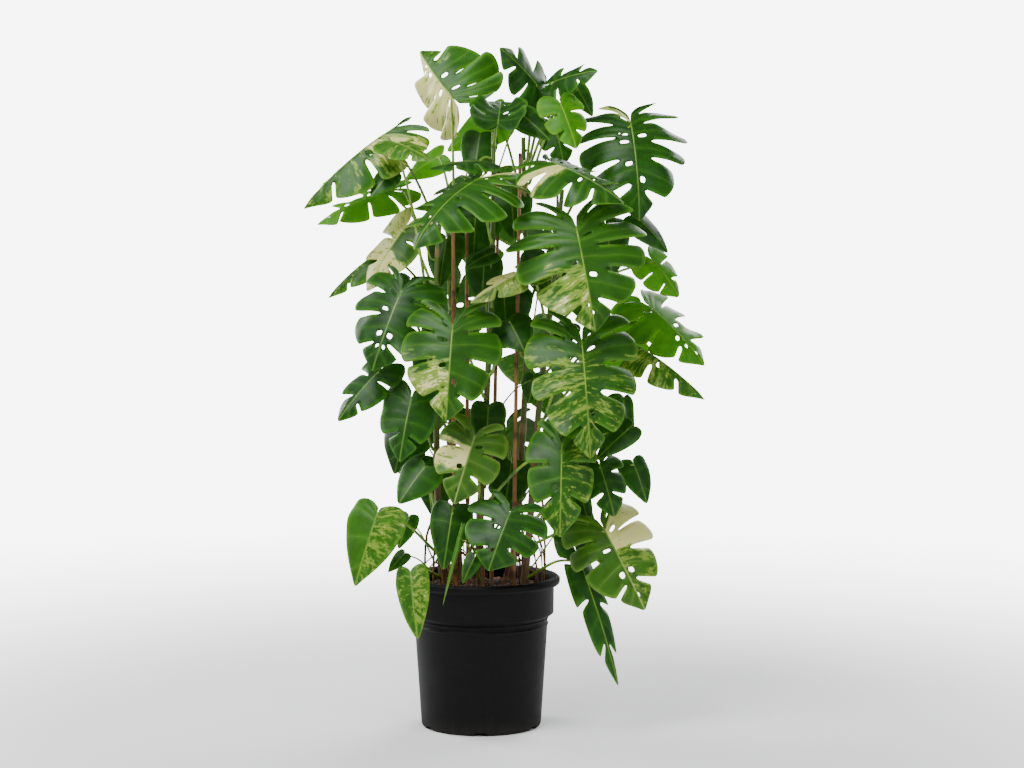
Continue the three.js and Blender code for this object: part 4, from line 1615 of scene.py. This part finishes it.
LARGE_LEAVES = {
    "crown_left": LeafPlan(
        "back_left", 1390, (-70, -30, 1655), (-160, 60, 1782), (-0.72, -0.6, 0.4), 310, 5, 4, Look.MARBLED,
        fold=28, curl=15, youth=0.35, pale=(Pale(1, 0.0, 1.0, 0.22), Pale(-1, 0.0, 0.8, -0.25)),
    ),
    "crown_cup": LeafPlan(
        "middle", 1545, (46, -132, 1586), (54, -12, 1648), (0, -0.5, 0.9), 170, 4, 2, Look.GREEN, fold=-15,
        curl=-25,
    ),
    "crown_glow": LeafPlan(
        "back_right", 1440, (45, 95, 1620), (-90, 145, 1530), (-0.2, -0.8, 0.5), 150, 3, 0, Look.BRIGHT,
    ),
    "crown_top": LeafPlan(
        "back_right", 1500, (150, 0, 1690), (55, -70, 1780), (0.35, -0.8, 0.45), 150, 4, 2, Look.GREEN,
    ),
    "crown_right": LeafPlan(
        "back_right", 1500, (185, 10, 1700), (300, -60, 1725), (0.1, -0.8, 0.6), 120, 4, 2, Look.GREEN,
    ),
    "crown_split": LeafPlan(
        "back_right", 1470, (208, -74, 1640), (246, -124, 1526), (0.2, -0.9, 0.4), 130, 4, 2, Look.BRIGHT,
    ),
    "centre_shade": LeafPlan(
        "back_right", 1440, (195, 112, 1605), (220, 80, 1490), (0, -0.9, 0.4), 120, 4, 3, Look.GREEN,
    ),
    "shoulder_right": LeafPlan(
        "right", 1350, (395, 30, 1600), (415, -40, 1350), (0.05, -0.75, 0.6), 320, 6, 5, Look.GREEN,
        bend=50, curl=32, youth=0.1, pale=(Pale(-1, 0.12, 0.24, 0.4),),
    ),
    "shoulder_left": LeafPlan(
        "back_left", 1260, (-245, -20, 1570), (-455, -50, 1380), (-0.5, -0.5, 0.6), 230, 5, 4, Look.MARBLED,
        fold=28, curl=22,
        pale=(Pale(1, 0.34, 0.62, 0.14), Pale(1, 0.0, 0.3, -0.16), Pale(-1, 0.0, 1.0, -0.3)),
    ),
    "left_drape": LeafPlan(
        "back_left", 1190, (-240, 98, 1422), (-430, 78, 1335), (-0.2, -0.5, 0.85), 170, 5, 3, Look.BRIGHT,
    ),
    "left_upper": LeafPlan(
        "left", 1080, (-226, -94, 1542), (-128, -176, 1490), (0.2, -0.7, 0.7), 110, 4, 2, Look.MARBLED,
        youth=0.5, pale=(Pale(1, 0.2, 0.55, 0.26),),
    ),
    "left_glow": LeafPlan(
        "back_left", 1400, (-110, 126, 1515), (-205, 152, 1452), (-0.2, -0.8, 0.5), 100, 3, 0, Look.BRIGHT,
    ),
    "top_shade": LeafPlan(
        "middle", 1500, (5, -80, 1492), (-125, -130, 1472), (0, -0.3, 0.95), 110, 4, 2, Look.GREEN,
    ),
    "centre_top": LeafPlan(
        "middle", 1290, (-2, -135, 1445), (-160, -252, 1275), (-0.35, -0.5, 0.8), 315, 6, 5, Look.MARBLED,
        bend=40, curl=30, youth=0.2,
        pale=(Pale(1, 0.0, 0.12, 0.24), Pale(-1, 0.0, 0.14, 0.24), Pale(1, 0.14, 1.0, -0.25),
            Pale(-1, 0.16, 1.0, -0.2)),
    ),
    "right_graze": LeafPlan(
        "right", 1300, (190, -130, 1485), (360, -210, 1385), (0.15, -0.45, 0.9), 260, 5, 4, Look.MARBLED,
        curl=28,
        pale=(Pale(-1, 0.4, 0.55, 0.26), Pale(-1, 0.0, 0.36, -0.2),
            Pale(-1, 0.6, 1.0, -0.16), Pale(1, 0.0, 1.0, -0.18)),
    ),
    "main_right": LeafPlan(
        "right", 1110, (245, -210, 1320), (290, -268, 1070), (0.05, -0.95, 0.25), 365, 6, 5, Look.MARBLED,
        youth=0.3,
        pale=(Pale(-1, 0.0, 0.68, -0.3), Pale(1, 0.06, 1.0, -0.3), Pale(-1, 0.72, 0.95, 0.1),
            Pale(1, 0.0, 0.06, 0.1)),
    ),
    "right_edge": LeafPlan(
        "right", 1060, (455, 60, 1235), (525, 60, 1140), (0.3, -0.7, 0.6), 140, 4, 2, Look.BRIGHT,
    ),
    "right_far": LeafPlan(
        "right", 880, (450, 40, 1110), (585, 0, 965), (0.35, -0.6, 0.65), 230, 5, 3, Look.BRIGHT,
    ),
    "right_arch": LeafPlan(
        "right", 820, (400, -34, 1018), (580, -72, 880), (0.3, -0.35, 0.85), 170, 5, 4, Look.MARBLED,
        fold=28, curl=22, youth=0.3, pale=(Pale(-1, 0.2, 0.8, 0.06), Pale(1, 0.3, 0.7, 0.03)),
    ),
    "right_glow": LeafPlan(
        "back_right", 900, (420, 92, 1075), (320, 82, 935), (0, -0.9, 0.3), 160, 4, 2, Look.BRIGHT,
    ),
    "second_right": LeafPlan(
        "right", 800, (260, -200, 1030), (280, -262, 750), (0.05, -0.95, 0.3), 300, 6, 5, Look.MARBLED,
        youth=0.15,
        pale=(Pale(-1, 0.0, 0.45, -0.2), Pale(1, 0.0, 0.5, -0.2), Pale(-1, 0.5, 1.0, 0.04),
            Pale(1, 0.58, 1.0, 0.01)),
    ),
    "right_drip": LeafPlan(
        "right", 560, (400, -60, 705), (435, -80, 600), (0.3, -0.9, 0.3), 95, 3, 0, Look.GREEN,
    ),
    "right_low_shade": LeafPlan(
        "right", 540, (310, -120, 705), (345, -170, 580), (0.1, -0.9, 0.4), 130, 4, 3, Look.GREEN,
    ),
    "centre_hanging": LeafPlan(
        "middle", 600, (210, -172, 758), (204, -232, 540), (0, -0.95, 0.3), 190, 4, 3, Look.MARBLED,
        pale=(Pale(-1, 0.0, 0.8, -0.2), Pale(1, 0.0, 0.3, -0.3), Pale(1, 0.4, 0.9, 0.02)),
    ),
    "low_right": LeafPlan(
        "right", 490, (320, -120, 540), (420, -180, 345), (0.1, -0.9, 0.35), 240, 5, 4, Look.CREAM,
        pale=(Pale(-1, 0.0, 1.0, -0.5), Pale(1, 0.0, 0.28, -0.3), Pale(1, 0.3, 0.66, 0.04),
            Pale(1, 0.72, 1.0, -0.2)),
    ),
    "trailing": LeafPlan(
        "right", 405, (254, -104, 466), (354, -172, 150), (0.2, -0.9, 0.3), 110, 5, 4, Look.GREEN, fold=30,
        bend=25,
    ),
    "left_cream": LeafPlan(
        "left", 1180, (-200, 30, 1322), (-298, 4, 1160), (-0.4, -0.8, 0.4), 150, 4, 2, Look.CREAM,
        pale=(Pale(1, 0.4, 0.7, -0.4),),
    ),
    "left_narrow": LeafPlan(
        "back_left", 1080, (-260, 62, 1265), (-405, 50, 1140), (-0.5, -0.3, 0.8), 115, 4, 3, Look.MARBLED,
        fold=40, pale=(Pale(-1, 0.2, 0.9, 0.0),),
    ),
    "left_gloss": LeafPlan(
        "left", 960, (-205, -95, 1155), (-275, -150, 960), (-0.15, -0.85, 0.5), 250, 5, 4, Look.GREEN,
        curl=30, youth=0.0,
    ),
    "left_gloss_low": LeafPlan(
        "left", 800, (-264, -58, 948), (-368, -100, 822), (-0.3, -0.8, 0.5), 130, 4, 2, Look.GREEN,
        youth=0.0,
    ),
    "left_oval": LeafPlan(
        "left", 740, (-180, -106, 878), (-208, -142, 722), (-0.1, -0.9, 0.35), 160, 4, 1, Look.GREEN,
    ),
    "centre_left": LeafPlan(
        "middle", 880, (-70, -190, 1065), (-85, -248, 840), (0, -0.95, 0.3), 270, 5, 4, Look.MARBLED,
        youth=0.2, pale=(Pale(1, 0.0, 1.0, -0.2), Pale(-1, 0.0, 0.6, -0.2), Pale(-1, 0.78, 0.96, 0.14)),
    ),
    "centre_low": LeafPlan(
        "middle", 620, (-15, -170, 780), (-65, -212, 620), (0, -0.95, 0.35), 190, 4, 3, Look.CREAM,
        youth=0.3, pale=(Pale(1, 0.0, 1.0, -0.5), Pale(-1, 0.0, 0.5, -0.4), Pale(-1, 0.84, 1.0, -0.3)),
    ),
    "left_mid": LeafPlan(
        "left", 560, (-145, -130, 700), (-210, -170, 610), (-0.2, -0.9, 0.4), 125, 3, 0, Look.GREEN,
        youth=0.35,
    ),
    "left_heart": LeafPlan(
        "left", 470, (-265, -165, 585), (-320, -190, 405), (-0.15, -0.95, 0.25), 165, 4, 0, Look.MARBLED,
        youth=0.8, pale=(Pale(-1, 0.0, 1.0, -0.16), Pale(1, 0.06, 0.92, 0.05)),
    ),
    "low_oval": LeafPlan(
        "middle", 470, (-72, -142, 590), (-95, -172, 440), (0, -0.95, 0.25), 120, 3, 0, Look.GREEN,
        youth=0.0,
    ),
    "front_low": LeafPlan(
        "middle", 440, (76, -222, 592), (24, -280, 458), (0, -0.85, 0.5), 220, 4, 3, Look.GREEN,
        youth=0.15,
    ),
    "rim": LeafPlan(
        "left", 405, (-180, -160, 425), (-160, -205, 265), (-0.2, -0.95, 0.2), 100, 3, 0, Look.MARBLED,
        youth=0.45, pale=(Pale(1, 0.3, 0.9, 0.06),),
    ),
    "centre_round": LeafPlan(
        "middle", 940, (75, -120, 1080), (115, -160, 1000), (0, -0.95, 0.35), 125, 3, 0, Look.GREEN,
    ),
    "centre_curled": LeafPlan(
        "right", 1060, (135, -152, 1215), (-20, -178, 1130), (-0.1, -0.6, 0.8), 110, 4, 3, Look.CREAM,
        pale=(Pale(1, 0.0, 1.0, -0.14),),
    ),
}


BACK_LEAVES = 7


def back_leaves() -> dict[str, LeafPlan]:
    """Plans the leaves at the back, which wind up round the crown and hang outwards like roof tiles.

    Returns:
        The plans by place.
    """
    plans = {}
    middle = Vector((40, 0, 0))
    lowest, spacing = 640, 132
    for i in range(BACK_LEAVES):
        turn = math.radians(28 + (i * 55) % 130)
        level = lowest + i * spacing
        out = heading(turn)
        plans[f"back_{i + 1}"] = LeafPlan(
            "back_left" if out.x < 0 else "back_right",
            level - 170,
            tuple(middle + out * 215 + UP * level),
            tuple(middle + out * 335 + UP * (level - 235)),
            tuple(out * 0.9 + UP * 0.45),
            250 - 30 * (i % 3),
            4,
            3,
            Look.GREEN if i % 3 else Look.MARBLED,
        )
    return plans


YOUNG_LEAVES = {
    "back_right": (
        (1530, (150, 84, 1722), (140, 76, 1642), (0, -0.9, 0.3), 55),
        (1500, (255, 60, 1690), (295, 50, 1615), (0.1, -0.9, 0.3), 65),
        (1200, (330, 38, 1330), (345, 8, 1190), (0.3, -0.8, 0.5), 165),
        (980, (60, 30, 1150), (70, 0, 1010), (0, -0.9, 0.4), 165),
        (640, (240, 60, 800), (260, 30, 660), (0.2, -0.9, 0.4), 165),
        (480, (80, 20, 690), (60, -10, 560), (0, -0.9, 0.4), 130),
        (1270, (80, 50, 1412), (88, 24, 1290), (0, -0.9, 0.4), 125),
        (1040, (172, 44, 1250), (182, 18, 1120), (0.1, -0.9, 0.4), 150),
        (600, (335, 66, 860), (350, 36, 730), (0.2, -0.9, 0.4), 135),
    ),
    "middle": (
        (1480, (105, -70, 1615), (180, -100, 1545), (0, -0.9, 0.3), 85),
        (1120, (30, -90, 1255), (-40, -120, 1215), (0, -0.8, 0.6), 60),
        (820, (140, -50, 930), (125, -64, 860), (0, -0.9, 0.3), 70),
        (420, (-50, -205, 535), (-95, -222, 355), (0, -0.95, 0.2), 12),
        (400, (-15, -165, 470), (-45, -182, 405), (0, -0.9, 0.4), 50),
        (1040, (10, -78, 1235), (4, -94, 1115), (0, -0.9, 0.4), 110),
        (640, (20, -76, 850), (14, -96, 720), (0, -0.9, 0.4), 105),
    ),
    "right": (
        (1200, (410, 20, 1350), (495, 30, 1255), (0.3, -0.6, 0.6), 110),
        (980, (235, -120, 1070), (185, -150, 1005), (0, -0.9, 0.3), 65),
        (660, (214, -80, 806), (198, -98, 690), (0, -0.9, 0.3), 110),
        (720, (375, -40, 865), (390, -50, 755), (0.3, -0.9, 0.3), 65),
        (660, (390, -90, 800), (300, -130, 720), (0, -0.8, 0.5), 80),
        (520, (258, -26, 632), (292, -34, 520), (0, -0.9, 0.3), 56),
        (430, (270, -30, 575), (310, -40, 460), (0.2, -0.9, 0.3), 55),
    ),
    "left": (
        (1240, (-235, -42, 1465), (-285, -66, 1400), (-0.2, -0.9, 0.4), 75),
        (560, (-150, -60, 720), (-215, -90, 680), (-0.2, -0.8, 0.6), 50),
        (440, (-190, -50, 560), (-215, -70, 480), (0, -0.9, 0.4), 65),
        (400, (-200, -100, 470), (-240, -120, 425), (-0.2, -0.9, 0.3), 45),
    ),
    "back_left": (
        (1220, (-15, 66, 1370), (-20, 50, 1230), (0, -0.9, 0.4), 165),
        (1000, (-190, 60, 1180), (-220, 40, 1050), (-0.3, -0.8, 0.5), 165),
        (800, (-125, 45, 1000), (-140, 20, 870), (-0.1, -0.9, 0.4), 130),
        (620, (-190, 40, 800), (-230, 20, 670), (-0.3, -0.8, 0.4), 165),
        (600, (-15, 66, 820), (-20, 50, 690), (0, -0.9, 0.4), 130),
        (1390, (-4, 52, 1562), (-20, 26, 1440), (-0.1, -0.9, 0.4), 108),
        (1110, (-92, 34, 1290), (-108, 8, 1165), (-0.1, -0.9, 0.4), 115),
        (500, (-112, 50, 690), (-132, 22, 560), (0, -0.9, 0.4), 145),
    ),
}

ROOTS = {
    "left": (Root(560, -150, -20), Root(470, -70, -110)),
    "right": (Root(640, 170, 20), Root(480, 60, -20)),
    "middle": (Root(520, -34, -122),),
    "back_left": (Root(560, -130, 80),),
    "back_right": (Root(620, 110, 140),),
}


@dataclass
class ClimbingStem:
    """One climbing stem with its leaf scars, its aerial roots and its small young leaves."""

    place: str
    radius: float = 10.5 * MM
    taper: float = 0.45
    sides: int = 16
    scar_spacing: int = 3
    scar_width: float = 0.22
    scar_swell: float = 0.2
    rings: int = 18
    root_radius: float = 3.4 * MM
    root_taper: float = 0.8 * MM
    root_wobble: float = 2.5 * MM
    root_depth: float = 330 * MM
    fine_roots: int = 12
    fine_root_radius: float = 2.2 * MM
    fine_root_start: tuple[float, float] = (396, 170)
    fine_root_spread: tuple[float, float] = (14, 36)
    stalk_radius: float = 2.6 * MM
    stalk_sides: int = 7
    stem_finish: Finish = field(default_factory=lambda: ClimbingBark("ringed skin of a climbing stem"))
    root_finish: Finish = field(default_factory=lambda: AerialRoot("dried aerial root"))

    def scar(self, along: float) -> float:
        """Gives the strength of the nearest leaf scar.

        Args:
            along: The place along the stem, from 0 at its foot to 1 at its top.

        Returns:
            The strength there, from 0 to 1.
        """
        ring = along * self.rings
        nearest = 1 + self.scar_spacing * round((ring - 1) / self.scar_spacing)
        away = (ring - nearest) / self.scar_width
        return math.exp(-(away**2)) if 0 < nearest < self.rings else 0.0

    def build(self) -> list[Object]:
        """Builds the stem, its roots and its young leaves.

        Returns:
            The three pieces.
        """
        node = f"vine_{self.place}"
        bm = bmesh.new()
        sweep(
            bm,
            STEM_PATHS[self.place],
            lambda along: self.radius * (1 - self.taper * along) * (1 + self.scar_swell * self.scar(along)),
            self.sides,
            mark_at=self.scar,
        )
        stem = place_piece(f"stem_{self.place}", bm, [self.stem_finish], [node])
        return [stem, self.build_roots(node), self.build_young_leaves(node)]

    def build_roots(self, node: str) -> Object:
        """Builds the aerial roots, which bow out of the stem and end in the soil.

        Args:
            node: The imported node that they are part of.

        Returns:
            The piece that holds them.
        """
        bm = bmesh.new()
        for i, root in enumerate(ROOTS[self.place]):
            start = stem_at(self.place, root.height * MM)
            end = Vector((root.x * MM, root.y * MM, SOIL_LEVEL + 20 * MM))
            bow = Vector(((start.x + 2 * end.x) / 3, (start.y + 2 * end.y) / 3, (root.height - 30) * MM))
            foot = Vector((end.x * 0.97, end.y * 0.97, self.root_depth))
            path = smooth_path([start, bow, end, foot], 26)
            for j, point in enumerate(path[1:-1]):
                wobble = Vector((scatter(j, root.x) - 0.5, scatter(j, root.y) - 0.5, 0))
                point += wobble * self.root_wobble
            sweep(bm, path, lambda along: self.root_radius - self.root_taper * along, 8)
        for i in range(self.fine_roots):
            sweep(bm, self.fine_root_path(i), lambda along: self.fine_root_radius * (1 - along / 2), 5)
        return place_piece(f"roots_{self.place}", bm, [self.root_finish], [node])

    def fine_root_path(self, number: int) -> list[Vector]:
        """Lays out one thin root, which hangs from the stem in loose bends and ends in the soil.

        Args:
            number: Which of the stem's thin roots this is.

        Returns:
            The points of its middle line.
        """
        seed = number + STEM_POINTS[self.place][0][0]
        lowest, rise = self.fine_root_start
        start = stem_at(self.place, (lowest + rise * scatter(seed, 1)) * MM)
        turn = scatter(seed, 2) * 2 * math.pi
        nearest, spread = self.fine_root_spread
        away = heading(turn) * (nearest + spread * scatter(seed, 3)) * MM
        foot = start + away
        foot.z = SOIL_LEVEL + 2 * MM
        shoulder = start.lerp(foot, 0.35) + away * 0.5
        return smooth_path([start, shoulder, foot.lerp(shoulder, 0.4) + away * 0.1, foot], 16)

    def build_young_leaves(self, node: str) -> Object:
        """Builds the small young leaves that grow as one with the stem.

        Args:
            node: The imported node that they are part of.

        Returns:
            The piece that holds them.
        """
        bm = bmesh.new()
        for i, (start, base, tip, face, width) in enumerate(YOUNG_LEAVES[self.place]):
            leaf = Leaf(i + 1, LeafPlan(self.place, start, base, tip, face, width))
            mesh = settled_mesh("young_leaf", leaf.grow(self.stalk_radius, self.stalk_sides))
            bm.from_mesh(mesh)
            bpy.data.meshes.remove(mesh)
        finishes = [*Look.GREEN.finishes, STALK_FINISH]
        return place_piece(f"young_leaves_{self.place}", bm, finishes, [node])


CANES = (
    BambooCane("left", (-66, -74, 240), (-71, -64, 1335)),
    BambooCane("right", (84, -97, 240), (103, -86, 1512)),
    BambooCane("middle", (-35, 23, 240), (-38, 28, 1322)),
    BambooCane("back", (24, 103, 240), (46, 96, 1480)),
)


@dataclass
class Foliage:
    """All the large leaves."""

    stalk_radius: float = 4.4 * MM
    stalk_sides: int = 10

    def build(self) -> list[Object]:
        """Grows each large leaf as a piece of its own.

        Returns:
            The leaves.
        """
        pieces = []
        for i, (place, plan) in enumerate({**LARGE_LEAVES, **back_leaves()}.items()):
            leaf = Leaf(i + 1, plan)
            bm = leaf.grow(self.stalk_radius, self.stalk_sides)
            node = f"leaf_{place}"
            pieces.append(place_piece(f"{place}_leaf", bm, leaf.finishes(), [node]))
        return pieces


# The studio


class Lamp(NamedTuple):
    """One soft square light: where it hangs, how long its sides are, and its power in watts."""

    name: str
    place: Triple
    size: float
    power: float


LAMPS = (
    Lamp("key", (-1.5, -2.1, 4.2), 2.3, 235.0),
    Lamp("fill", (3.2, -2.8, 1.8), 2.2, 40.0),
    Lamp("back", (1.6, 3.0, 2.4), 2.6, 190.0),
    Lamp("back left", (-3.0, 2.0, 2.0), 1.8, 140.0),
)


@dataclass
class Studio:
    """A pale floor, soft light and the camera where the photograph was taken from."""

    floor_radius: float = 30.0
    lit_place: Triple = (0.05, 0, 1.0)
    camera_place: Triple = (0.082, -5.75, 1.27)
    tilt: float = 3.6
    lens: float = 76.6
    sensor: float = 36.0
    room_light: float = 0.32
    room_colour: str = "eef1f5"

    def build(self) -> None:
        """Builds the floor, the lights and the camera."""
        bm = bmesh.new()
        bmesh.ops.create_circle(bm, cap_ends=True, segments=96, radius=self.floor_radius)
        floor = linked("floor", settled_mesh("floor", bm, [StudioFloor("pale painted floor")]))
        for lamp in LAMPS:
            self.light(lamp)
        self.room()
        self.camera()

    def room(self) -> None:
        """Sets up the room's even light, with a white backdrop where the camera looks past the plant."""
        world = bpy.data.worlds.new("soft white room")
        world.use_nodes = True
        tree = world.node_tree
        tree.nodes.clear()
        seen = add_node(tree, "LightPath").outputs["Is Camera Ray"]
        sides = ((self.room_colour, self.room_light), (WHITE_BACKDROP, BACKDROP_STRENGTH))
        light, backdrop = [
            add_node(tree, "Background", {"Color": linear(colour), "Strength": strength}).outputs[0]
            for colour, strength in sides
        ]
        shown = add_node(tree, "MixShader", {0: seen, 1: light, 2: backdrop}).outputs[0]
        add_node(tree, "OutputWorld", {"Surface": shown})
        bpy.context.scene.world = world

    def light(self, lamp: Lamp) -> None:
        """Hangs one soft square light that shines at the middle of the plant.

        Args:
            lamp: The light.
        """
        source = bpy.data.lights.new(lamp.name, "AREA")
        source.size = lamp.size
        source.energy = lamp.power
        held = linked(lamp.name, source)
        held.location = lamp.place
        way = Vector(self.lit_place) - Vector(lamp.place)
        held.rotation_euler = way.to_track_quat("-Z", "Y").to_euler()

    def camera(self) -> None:
        """Sets up the camera at the photograph's place, tilt and angle of view."""
        lens = bpy.data.cameras.new("camera")
        lens.lens = self.lens
        lens.sensor_width = self.sensor
        held = linked("camera", lens)
        held.location = self.camera_place
        held.rotation_euler = (math.radians(90 - self.tilt), 0.0, 0.0)
        bpy.context.scene.camera = held


@dataclass(frozen=True)
class StudioFloor(Finish):
    """A floor rolled with pale matt paint."""

    paint: str = "e9e9ea"
    roughness: float = 0.85
    near: float = 0.9
    far: float = 4.5

    def shade(self, tree: NodeTree) -> NodeSocket:
        """Builds the finish's nodes: the paint fades into the white backdrop away from the plant.

        Args:
            tree: The material's node tree.

        Returns:
            The shader's socket.
        """
        away = add_node(tree, "VectorMath", {0: object_place(tree)}, operation="LENGTH").outputs["Value"]
        seen = add_node(tree, "LightPath").outputs["Is Camera Ray"]
        share = mask(tree, away, self.near, self.far)
        share = add_node(tree, "Math", {0: share, 1: seen}, operation="MULTIPLY").outputs[0]
        painted = {"Base Color": linear(self.paint), "Roughness": self.roughness}
        paint = add_node(tree, "BsdfPrincipled", painted).outputs[0]
        white = {"Color": linear(WHITE_BACKDROP), "Strength": BACKDROP_STRENGTH}
        glow = add_node(tree, "Emission", white).outputs[0]
        return add_node(tree, "MixShader", {0: share, 1: paint, 2: glow}).outputs[0]


def main() -> None:
    """Builds the studio, then the plant from the pot up."""
    logging.basicConfig(level=logging.INFO, format="%(name)s %(message)s")
    Studio().build()
    pieces = [NurseryPot().build(), *SoilBed().build()]
    pieces += [cane.build() for cane in CANES]
    for place in STEM_POINTS:
        pieces += ClimbingStem(place).build()
    pieces += Foliage().build()
    log.info("%d pieces", len(pieces))


if __name__ == "__main__":
    main()
